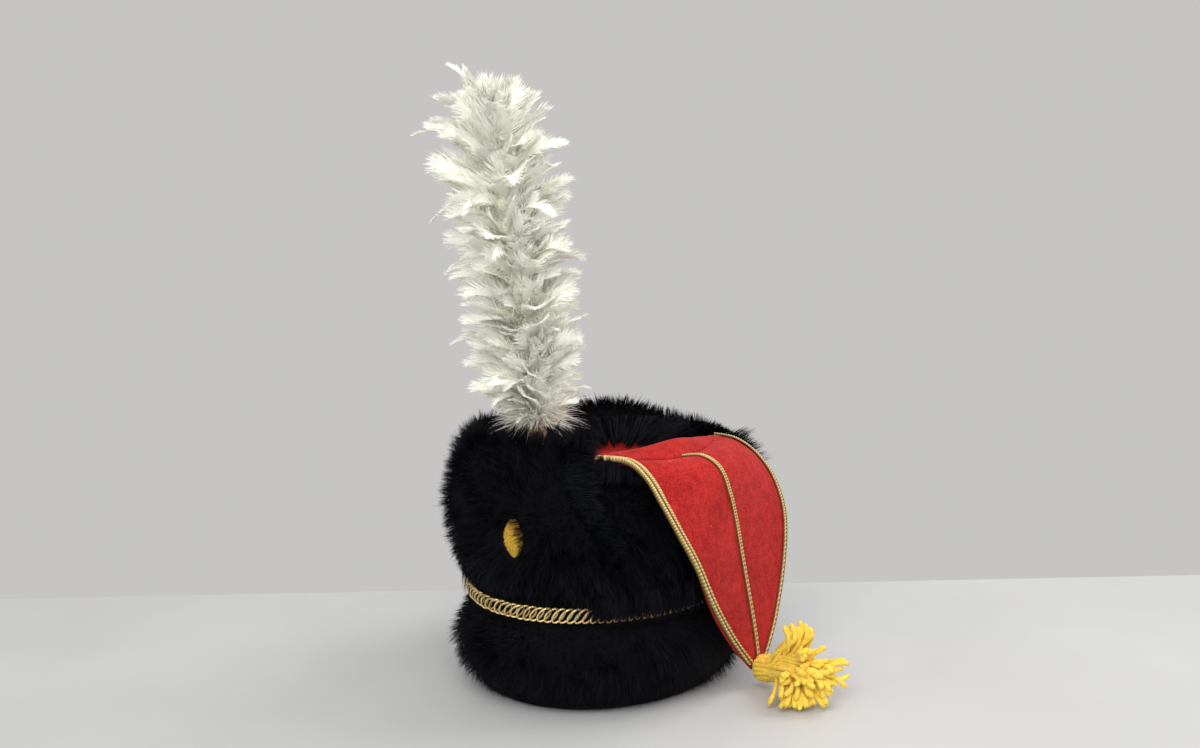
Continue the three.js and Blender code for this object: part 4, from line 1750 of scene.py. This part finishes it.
@dataclass(frozen=True)
class Cockade:
    """A small almond of yellow fluff at the front."""

    box: Box
    material: Material
    core: float = 0.42
    core_steps: int = 14
    fibres: int = 2600
    fibre_width: float = 0.55
    seed: int = 41

    def build(self) -> None:
        """Make the core and the fluff over it."""
        rng = np.random.default_rng(self.seed)
        middle, size = self.box.middle, self.box.size
        shape = Shape()
        height = np.linspace(-0.97, 0.97, self.core_steps)
        bulge = np.sqrt(1 - height**2) * (1 - 0.3 * height**2)
        path = height[:, None] * size[2] * self.core * UP
        points, faces = tube(path, np.repeat(bulge[:, None], 16, 1))
        shape.add((points * (*size[:2] * self.core, 1) + middle, faces), 0.2, 0.5)
        away = unit(rng.normal(size=(self.fibres, 3)))
        away[:, 1] = -np.abs(away[:, 1]) * 0.9 + 0.1
        away = unit(away)
        taper = 1 - 0.3 * away[:, 2] ** 2
        tip = away * size / 2 * np.stack([taper, taper, np.ones(self.fibres)], -1)
        root = tip * 0.66
        root[:, 2] += 2.5 * rng.random(self.fibres)
        share = FIBRE_STATIONS[:, None]
        spine = middle + root[:, None] + (tip - root)[:, None] * share
        spine = spine + rng.normal(0, 0.5, (self.fibres, 1, 3)) * share
        side = scatter_side(unit(tip - root), rng)
        width = self.fibre_width * np.array((1.0, 0.8, 0.45))
        add_ribbons(shape, spine, side, width, rng.random(self.fibres))
        shape.build("cockade_fluff", self.material, "cockade", Slot.WOOL)


# ---------------------------------------------------------------- plume


class FeatherKind(Enum):
    """Kinds of feather in the plume: width, length and curl against the usual ones."""

    BROAD = (1.0, 1.0, 0.0)
    SLIM = (0.5, 1.12, 0.45)
    CAP = (1.0, 0.72, -0.25)


@dataclass(frozen=True)
class Feather:
    """One soft feather: a broad vane on a curved quill, with frayed edges and down at its foot."""

    shape: Shape
    rng: Random
    root: Array
    turn: float
    length: float
    width: float
    first_slope: float
    last_slope: float
    roll: float
    sweep: float
    pick: float
    stations: tuple[float, ...] = (0.03, 0.16, 0.3, 0.44, 0.57, 0.69, 0.8, 0.88, 0.94, 0.98, 1.0)
    strips: tuple[float, ...] = (-0.5, 0.0, 0.5)
    quill_steps: int = 40
    edge_barbs: int = 44
    tip_barbs: int = 20
    down_barbs: int = 14
    edge_width: float = 0.8
    down_width: float = 0.4
    cup: float = 0.3
    rake: float = 0.35

    def quill(self, share: Array) -> tuple[Array, Array, Array, Array]:
        """Return places on the quill.

        Args:
            share: Shares of the way from the quill's root to its tip.

        Returns:
            The points, the quill's run, the way across the vane and the way off its face.
        """
        fine = np.linspace(0, 1, self.quill_steps)
        slope = mix(self.first_slope, self.last_slope, fine**1.3)
        turn = self.turn + self.sweep * fine**2
        ahead = aim(turn, slope)
        step = (ahead[1:] + ahead[:-1]) / 2 / (self.quill_steps - 1)
        line = self.root + self.length * np.concatenate([np.zeros((1, 3)), np.cumsum(step, 0)])
        tangent = aim(turn + math.pi / 2)
        flat = tangent * math.cos(self.roll) + np.cross(ahead, tangent) * math.sin(self.roll)
        paths = (line, ahead, flat, np.cross(flat, ahead))
        return tuple(np.stack([np.interp(share, fine, path[:, i]) for i in range(3)], -1) for path in paths)

    def half_width(self, share: Array) -> Array:
        """Return half the vane's width, full in the middle and round at the tip."""
        end = np.sqrt(np.maximum(1 - (np.maximum(share - 0.82, 0) / 0.18) ** 2, 0))
        return self.width / 2 * np.sin(math.pi * (0.17 + 0.72 * share)) ** 0.8 * end

    def on_vane(self, share: Array, across: Array, ruffle: Array | float = 0.0) -> Array:
        """Return points of the vane, hollow below and swept toward its tip at the edges.

        Args:
            share: Shares of the way along the feather.
            across: Places across it, from -1 to 1.
            ruffle: How far the vane waves off its face, in half widths.

        Returns:
            The points.
        """
        at, ahead, flat, face = self.quill(share)
        half, edge = self.half_width(share), np.abs(across)
        lift = (ruffle - self.cup * edge**1.6) * half
        swept = self.rake * edge * half
        return at + flat * (across * half)[..., None] + ahead * swept[..., None] + face * lift[..., None]

    def build(self) -> None:
        """Add the vane, its frayed edge and its down to the shape."""
        share, across = np.meshgrid(self.stations, self.strips, indexing="ij")
        edge = np.abs(across)
        ragged = np.where(edge > 0.4, 1 + self.rng.normal(0, 0.06, across.shape), 1.0)
        wave = 0.16 * np.sin(share * 15 + self.pick * 40 + across * 2) * edge
        points = self.on_vane(share, across * ragged, wave).reshape(-1, 3)
        self.shape.add((points, [grid_faces(*share.shape)]), share.ravel(), self.pick, across.ravel())
        self.add_edges()
        self.add_down()

    def add_edges(self) -> None:
        """Add the loose barbs along both edges and round the tip."""
        rng = self.rng
        edge, count = np.linspace(0.05, 0.94, self.edge_barbs), 2 * self.edge_barbs + self.tip_barbs
        along = np.concatenate([edge, edge, rng.uniform(0.82, 0.98, self.tip_barbs)])
        along = np.clip(along + rng.normal(0, 0.012, count), 0.03, 0.985)
        hand = np.append(np.repeat([-1.0, 1.0], self.edge_barbs), rng.uniform(-0.7, 0.7, self.tip_barbs))
        root = self.on_vane(along, np.clip(hand, -0.42, 0.42))
        _, ahead, flat, face = self.quill(along)
        at_side = smooth((np.abs(hand) - 0.7) / 0.2)
        open_out = mix(math.pi / 2 - 0.6 * np.abs(hand), np.radians(mix(38, 80, along**3)), at_side)
        open_out = open_out + rng.normal(0, 0.13, count)
        way = flat * (np.sign(hand) * np.cos(open_out))[:, None] + ahead * np.sin(open_out)[:, None]
        length = self.half_width(along) * rng.uniform(0.75, 1.15, count) + rng.uniform(1.0, 3.2, count)
        bent = unit(way + ahead * 0.35 - face * rng.uniform(0.1, 0.8, (count, 1)))
        self.add_barbs(root, (way, bent), length, self.edge_width, (along, hand))

    def add_down(self) -> None:
        """Add the fine down of the feather's lower half."""
        rng, count = self.rng, self.down_barbs
        along = rng.uniform(0.06, 0.66, count)
        hand = rng.choice([-1.0, 1.0], count) * rng.uniform(0.5, 1.0, count)
        root = self.on_vane(along, hand)
        _, ahead, flat, face = self.quill(along)
        way = unit(flat * np.sign(hand)[:, None] + ahead * 0.5 + face * rng.normal(0.15, 0.5, (count, 1)))
        bent = unit(way + rng.normal(0, 0.45, (count, 3)) - 0.15 * UP)
        self.add_barbs(root, (way, bent), rng.uniform(3.5, 9.0, count), self.down_width, (along, hand))

    def add_barbs(
        self, root: Array, ways: tuple[Array, Array], length: Array, width: float, place: tuple[Array, Array]
    ) -> None:
        """Add loose barbs that start one way and end another.

        Args:
            root: Where each starts.
            ways: The way that each starts and the way that each ends.
            length: Length of each.
            width: Width at the start.
            place: Place of each along the feather and across it.
        """
        first, last = ways
        along, across = place
        t = np.array([0.0, 0.52, 1.0])[:, None]
        step = first[:, None] * (t - t**2 / 2) + last[:, None] * (t**2 / 2)
        spine = root[:, None] + step * length[:, None, None]
        turned = self.rng.normal(0, 0.35, first.shape) + np.cross(first, (0.3, 0.2, 1.0))
        side = unit(np.cross(first + last, turned))[:, None].repeat(2, 1)
        wide = width * self.rng.uniform(0.7, 1.25, (len(root), 1)) * np.array([1.0, 0.75])
        points, faces = ribbons(spine, side, wide)
        each = len(points) // len(root)
        self.shape.add((points, faces), np.repeat(along, each), self.pick, np.repeat(across * 1.2, each))


@dataclass(frozen=True)
class Plume:
    """Broad soft feathers in a spiral up a leaning stem."""

    base: Array
    length: float
    material: Material
    lean_x: float = -28.0
    lean_y: float = -21.0
    bend: float = 1.35
    seed: int = 5
    count: int = 480
    rows: Table = Table(
        "along length first last spread",
        [
            (0, 33, 38, 0, 0.45),
            (12, 44, 46, 4, 0.6),
            (26, 53, 50, 0, 0.95),
            (44, 57, 52, -4, 1.0),
            (76, 56, 54, -6, 1.0),
            (106, 60, 56, -2, 1.05),
            (136, 59, 56, 0, 1.05),
            (164, 60, 56, 4, 1.1),
            (188, 58, 60, 12, 1.05),
            (206, 52, 68, 24, 1.0),
            (218, 44, 78, 42, 0.95),
        ],
    )
    singles: Table = Table(
        "along turn length first last width",
        [
            (138, 3.75, 72, 62, -50, 9),
            (196, 3.85, 68, 46, -22, 10),
            (176, 0.75, 58, 58, 10, 14),
        ],
    )
    kinds: tuple[tuple[FeatherKind, float], ...] = (
        (FeatherKind.CAP, 0.26),
        (FeatherKind.BROAD, 0.62),
        (FeatherKind.SLIM, 0.12),
    )
    golden_turn: float = 2.39996
    long_side: float = 3.75
    skirt: int = 1100
    core_steps: int = 30
    core_radius: float = 10.0

    def stem(self, along: Array | float) -> Array:
        """Return points up the stem."""
        share = np.maximum(np.asarray(along, float), 0) / self.length
        lean = share**self.bend
        return self.base + np.stack([self.lean_x * lean, self.lean_y * lean, share * self.length], -1)

    def add_core(self, shape: Shape) -> None:
        """Add the soft body that the feathers spring from.

        Args:
            shape: The shape that gets it.
        """
        steps = np.arange(self.core_steps)
        rise = np.linspace(0, 1, self.core_steps)
        swell = self.core_radius + 1.2 * np.sin(steps[:, None] * 1.9 + np.arange(14) * 2.4)
        swell = swell * (0.3 + 0.7 * smooth(rise * 8) - 0.7 * smooth((rise - 0.85) / 0.15))[:, None]
        shape.add(tube(self.stem(np.linspace(0, self.length - 24, self.core_steps)), swell), 0.15, 0.3)

    def add_feather(self, k: int, shape: Shape, rng: Random) -> None:
        """Add one feather of the spiral.

        Args:
            k: Its number from the bottom.
            shape: The shape that gets it.
            rng: Random numbers.
        """
        row = {key: float(value) for key, value in self.rows.at(np.array((k + 0.5) / self.count)).items()}
        kinds, shares = zip(*self.kinds)
        slim, longer, curl = kinds[rng.choice(len(kinds), p=shares)].value
        turn = self.golden_turn * k + rng.normal(0, 0.35)
        inner = rng.random() ** 2.2
        toward = math.cos(turn - self.long_side)
        length = row["length"] * longer * (1 - 0.3 * inner) * (1 + 0.06 * toward)
        Feather(
            shape,
            rng,
            root=self.stem(max(row["along"] + rng.normal(0, 4), 0.5)),
            turn=turn,
            length=length * rng.uniform(0.82, 1.08),
            width=rng.uniform(16, 26) * slim * row["spread"],
            first_slope=math.radians(row["first"] + 16 * inner + rng.normal(0, 6) - 4 * toward),
            last_slope=math.radians(row["last"] + 40 * inner + rng.normal(0, 17) - 30 * curl - 13 * toward),
            roll=rng.normal(0, 0.7),
            sweep=rng.normal(0, 0.4),
            pick=rng.random(),
        ).build()

    def add_skirt(self, shape: Shape, rng: Random) -> None:
        """Add the long loose barbs that hang over the fur round the foot.

        Args:
            shape: The shape that gets them.
            rng: Random numbers.
        """
        turn = rng.uniform(0, FULL_TURN, self.skirt)
        slope = np.radians(rng.uniform(-24, 42, self.skirt))
        root = self.stem(rng.uniform(2, 16, self.skirt)) + aim(turn) * rng.uniform(2, 7, self.skirt)[:, None]
        way = aim(turn, slope)
        reach = rng.uniform(14, 32, self.skirt)[:, None]
        swerve = rng.normal(0, 0.16, (self.skirt, 3))
        bend = root + (way + UP * 0.25) * reach * 0.55
        side = scatter_side(way, rng)
        width = rng.uniform(0.35, 0.6, (self.skirt, 1)) * FIBRE_TAPER
        spine = arcs(root, bend, root + (way + swerve) * reach)
        add_ribbons(shape, spine, side, width, rng.random(self.skirt))

    def add_single(self, row: Array, shape: Shape, rng: Random) -> None:
        """Add one longer feather that stands out of the mass.

        Args:
            row: Its row of the table of single feathers.
            shape: The shape that gets it.
            rng: Random numbers.
        """
        along, turn, length, first, last, width = row
        form = (self.stem(along), turn, length, width, math.radians(first), math.radians(last), 0.15, 0.1)
        Feather(shape, rng, *form, rng.random(), down_barbs=6).build()

    def build(self) -> None:
        """Make the plume as a lower and an upper piece."""
        rng = np.random.default_rng(self.seed)
        half = self.count // 2
        middle = float(self.rows.at(np.array(0.5))["along"])
        lower, upper = Shape(), Shape()
        self.add_core(lower)
        self.add_skirt(lower, rng)
        for name, shape, first in (("feather_plume_lower", lower, 0), ("feather_plume_upper", upper, half)):
            for k in range(first, first + half):
                self.add_feather(k, shape, rng)
            for row in self.singles.rows:
                if (row[0] < middle) == (shape is lower):
                    self.add_single(row, shape, rng)
            shape.build(name, self.material, "plume", Slot.FEATHER)


# ---------------------------------------------------------------- tassel


@dataclass(frozen=True)
class Tassel:
    """A mop of plied wool strands that spring from a bundled head at the bag's tip."""

    tip: Array
    material: Material
    head: tuple[float, float, float] = (135.7, 21.0, 15.5)
    middle: tuple[float, float, float] = (170.0, 6.0, 25.0)
    sideways: tuple[float, float, float] = (0.819, 0.574, 0.0)
    forward: tuple[float, float, float] = (0.574, -0.819, 0.0)
    strand: float = 1.72
    ply: int = 3
    sides: int = 9
    steps: int = 16
    head_radius: float = 9.4
    end_fibres: int = 6
    fibre_width: float = 0.5
    seed: int = 61
    groups: Table = Table(
        "count right front up spread_right spread_front spread_up",
        [
            (44, 2, 19, -1, 17, 5, 13),
            (26, -2, 14, -21, 20, 7, 2),
            (24, 20, 3, -3, 7, 10, 12),
            (6, 33, 2, 1, 5, 5, 11),
            (22, 1, -4, 31, 10, 4, 5),
            (18, 2, -20, -4, 13, 5, 11),
            (22, 9, 5, 13, 11, 9, 6),
        ],
    )

    def path(self, end: Array, rng: Random) -> Array:
        """Return a strand's middle line, from the bag's tip through the bundled head to its end.

        Args:
            end: Where the strand ends.
            rng: Random numbers.

        Returns:
            The points, one in a row.
        """
        head, middle = np.array(self.head), np.array(self.middle)
        axis = unit(middle - head)
        side = unit(np.cross(UP, axis))
        turn = rng.uniform(0, FULL_TURN)
        ring = side * math.cos(turn) + np.cross(axis, side) * math.sin(turn)
        bulge = self.head_radius * rng.uniform(0.5, 1.0)
        knots = np.stack(
            [
                self.tip + ring * 2.2,
                head - axis * 3 + ring * bulge,
                head + axis * 7 + ring * bulge * 0.92,
                mix(head + axis * 15, end, 0.3) + ring * bulge * 0.7 + UP * 1.5,
                mix(middle, end, 0.7) + UP * 1.5 + rng.normal(0, 1.8, 3),
                end,
            ]
        )
        return between_rows(knots, np.linspace(0, len(knots) - 1, self.steps))

    def add_strand(self, path: Array, shape: Shape, rng: Random) -> None:
        """Add one plied strand with a blunt cut end and a few loose fibres.

        Args:
            path: Its middle line.
            shape: The shape that gets it.
            rng: Random numbers.
        """
        thick = self.strand * rng.uniform(0.88, 1.14)
        path[:, 2] = np.maximum(path[:, 2], thick + 0.3)
        length = walked(path)
        twist = length[:, None] * 0.55 + rng.uniform(0, 6)
        lobe = np.abs(np.cos(self.ply * (turns(self.sides) - twist) / 2))
        share = length / length[-1]
        flare = 1 + 0.22 * smooth((share - 0.82) / 0.14) - 0.25 * smooth((share - 0.97) / 0.03)
        pick = rng.random()
        along = np.append(np.repeat(share, self.sides), [0, 1])
        shape.add(tube(path, thick * (0.82 + 0.2 * lobe) * flare[:, None]), along, pick)
        ahead = unit(path[-1] - path[-2])
        way = unit(ahead + rng.normal(0, 0.6, (self.end_fibres, 3)))
        root = path[-1] + (way - ahead) * 0.8
        reach = rng.uniform(0.8, 2.2, (self.end_fibres, 1)) * FIBRE_STATIONS
        spine = root[:, None] + way[:, None] * reach[..., None]
        spine[..., 2] = np.maximum(spine[..., 2], 0.4)
        side = scatter_side(way, rng)
        add_ribbons(shape, spine, side, self.fibre_width * FIBRE_TAPER, np.full(self.end_fibres, pick))

    def build(self) -> None:
        """Make all the strands as one piece."""
        rng = np.random.default_rng(self.seed)
        axes = np.array((self.sideways, self.forward, UP))
        shape = Shape()
        for row in self.groups.rows:
            count, goal, spread = int(row[0]), row[1:4], row[4:7]
            for _ in range(count):
                place = goal + spread * np.clip(rng.normal(0, 0.6, 3), -1.05, 1.05)
                self.add_strand(self.path(self.middle + place @ axes, rng), shape, rng)
        shape.build("wool_tassel", self.material, "tassel", Slot.WOOL)


# ---------------------------------------------------------------- studio


@dataclass(frozen=True)
class Studio:
    """A pale floor, soft light and the camera. Lengths here are metres."""

    material: Material
    azimuth: float = math.radians(35)
    distance: float = 1.06
    eye: float = 0.394
    pitch: float = math.radians(8.4)
    roll: float = math.radians(-1.15)
    lens: float = 40.8
    floor_behind: float = 0.205
    floor_ahead: float = 3.0
    floor_half: float = 3.0
    wall: Colour = (0.56, 0.555, 0.545)

    def spot(self, right: float, front: float, up: float = 0.0) -> tuple[float, float, float]:
        """Return a place to the camera's right of the cap, in front of it and up."""
        cos, sin = math.cos(self.azimuth), math.sin(self.azimuth)
        return right * cos + front * sin, right * sin - front * cos, up

    def build(self) -> None:
        """Make the floor, the lights and the camera."""
        self.make_floor()
        self.make_world()
        self.make_lights()
        self.make_camera()

    def make_floor(self) -> None:
        """Make the pale floor that ends behind the cap."""
        half, ahead, behind = self.floor_half, self.floor_ahead, self.floor_behind
        corners = ((-half, ahead), (half, ahead), (half, -behind), (-half, -behind))
        mesh = bpy.data.meshes.new("floor")
        mesh.from_pydata([self.spot(*corner) for corner in corners], [], [(0, 1, 2, 3)])
        mesh.materials.append(self.material)
        link("floor", mesh)

    def make_world(self) -> None:
        """Set the even grey surroundings."""
        world = bpy.data.worlds.new("studio")
        bpy.context.scene.world = world
        world.use_nodes = True
        even = {"Color": self.wall, "Strength": 1.0}
        Graph(world.node_tree).fill(world.node_tree.nodes["Background"], even)

    def make_lights(self) -> None:
        """Make the large soft lights."""
        for name, place, size, power in (
            ("key", (0.99, -0.24, 1.38), 0.8, 10.0),
            ("front_fill", (-0.2, 1.5, 1.2), 1.4, 26.0),
            ("overhead", (0.1, -0.1, 1.8), 1.8, 4.0),
        ):
            lamp = bpy.data.lights.new(name, "AREA")
            lamp.size = size
            lamp.energy = power
            light = link(name, lamp)
            light.location = self.spot(*place)
            light.rotation_mode = "QUATERNION"
            light.rotation_quaternion = light.location.to_track_quat("Z", "Y")

    def make_camera(self) -> None:
        """Make the camera."""
        data = bpy.data.cameras.new("camera")
        data.lens = self.lens
        data.sensor_width = 36.0
        camera = link("camera", data)
        turn = Matrix.Rotation(self.azimuth, 4, "Z") @ Matrix.Rotation(math.pi / 2 - self.pitch, 4, "X")
        place = Matrix.Translation(self.spot(0, self.distance, self.eye))
        camera.matrix_world = place @ turn @ Matrix.Rotation(self.roll, 4, "Z")
        bpy.context.scene.camera = camera
        bpy.context.scene.view_settings.view_transform = "Standard"


# ---------------------------------------------------------------- assembly


def main() -> None:
    """Build every sub-assembly in order."""
    logging.basicConfig(level=logging.INFO, format="%(name)s %(message)s")
    Effects().build()
    red, gold = RED_FELT.material(), BRAID_GOLD.material()
    shell = Shell(*Box.of("foundation").high, SHELL_FELT.material())
    form = BagForm()
    cockade, holder, plume = Box.of("cockade"), Box.of("plume_holder"), Box.of("plume")
    chain_height = Box.of("chin_chain").middle[2]
    stem_foot = np.array((*holder.middle[:2], plume.low[2]))
    bag_tip = form.point(np.array([1.0]), np.array([0.0]), 1.0)[0]
    front, rear, centre = BagLine.FRONT_EDGE, BagLine.REAR_EDGE, BagLine.CENTRE
    for part in (
        shell,
        Crown(shell, form, red),
        Bag(form, red),
        Braid(form, gold, "front_edge_braid", "braid_front_edge", front, wrap=0.14, start_wrap=0.4),
        Braid(form, gold, "rear_edge_braid", "braid_rear_edge", rear, wrap=0.4, taper=0.4),
        Braid(form, gold, "centre_line_braid", "braid_centre", centre, width=3.8, start=0.01, end=0.96),
        FurCoat(shell, form, cockade, chain_height, FUR.material(), PELT.material()),
        Cockade(cockade, COCKADE_FLUFF.material()),
        ChinChain(shell, chain_height, CHAIN_GOLD.material()),
        PlumeHolder(holder, BINDING.material()),
        Plume(stem_foot, plume.size[2], FEATHER.material()),
        Tassel(bag_tip, WOOL.material()),
        Studio(PALE_FLOOR.material()),
    ):
        part.build()


if __name__ == "__main__":
    main()
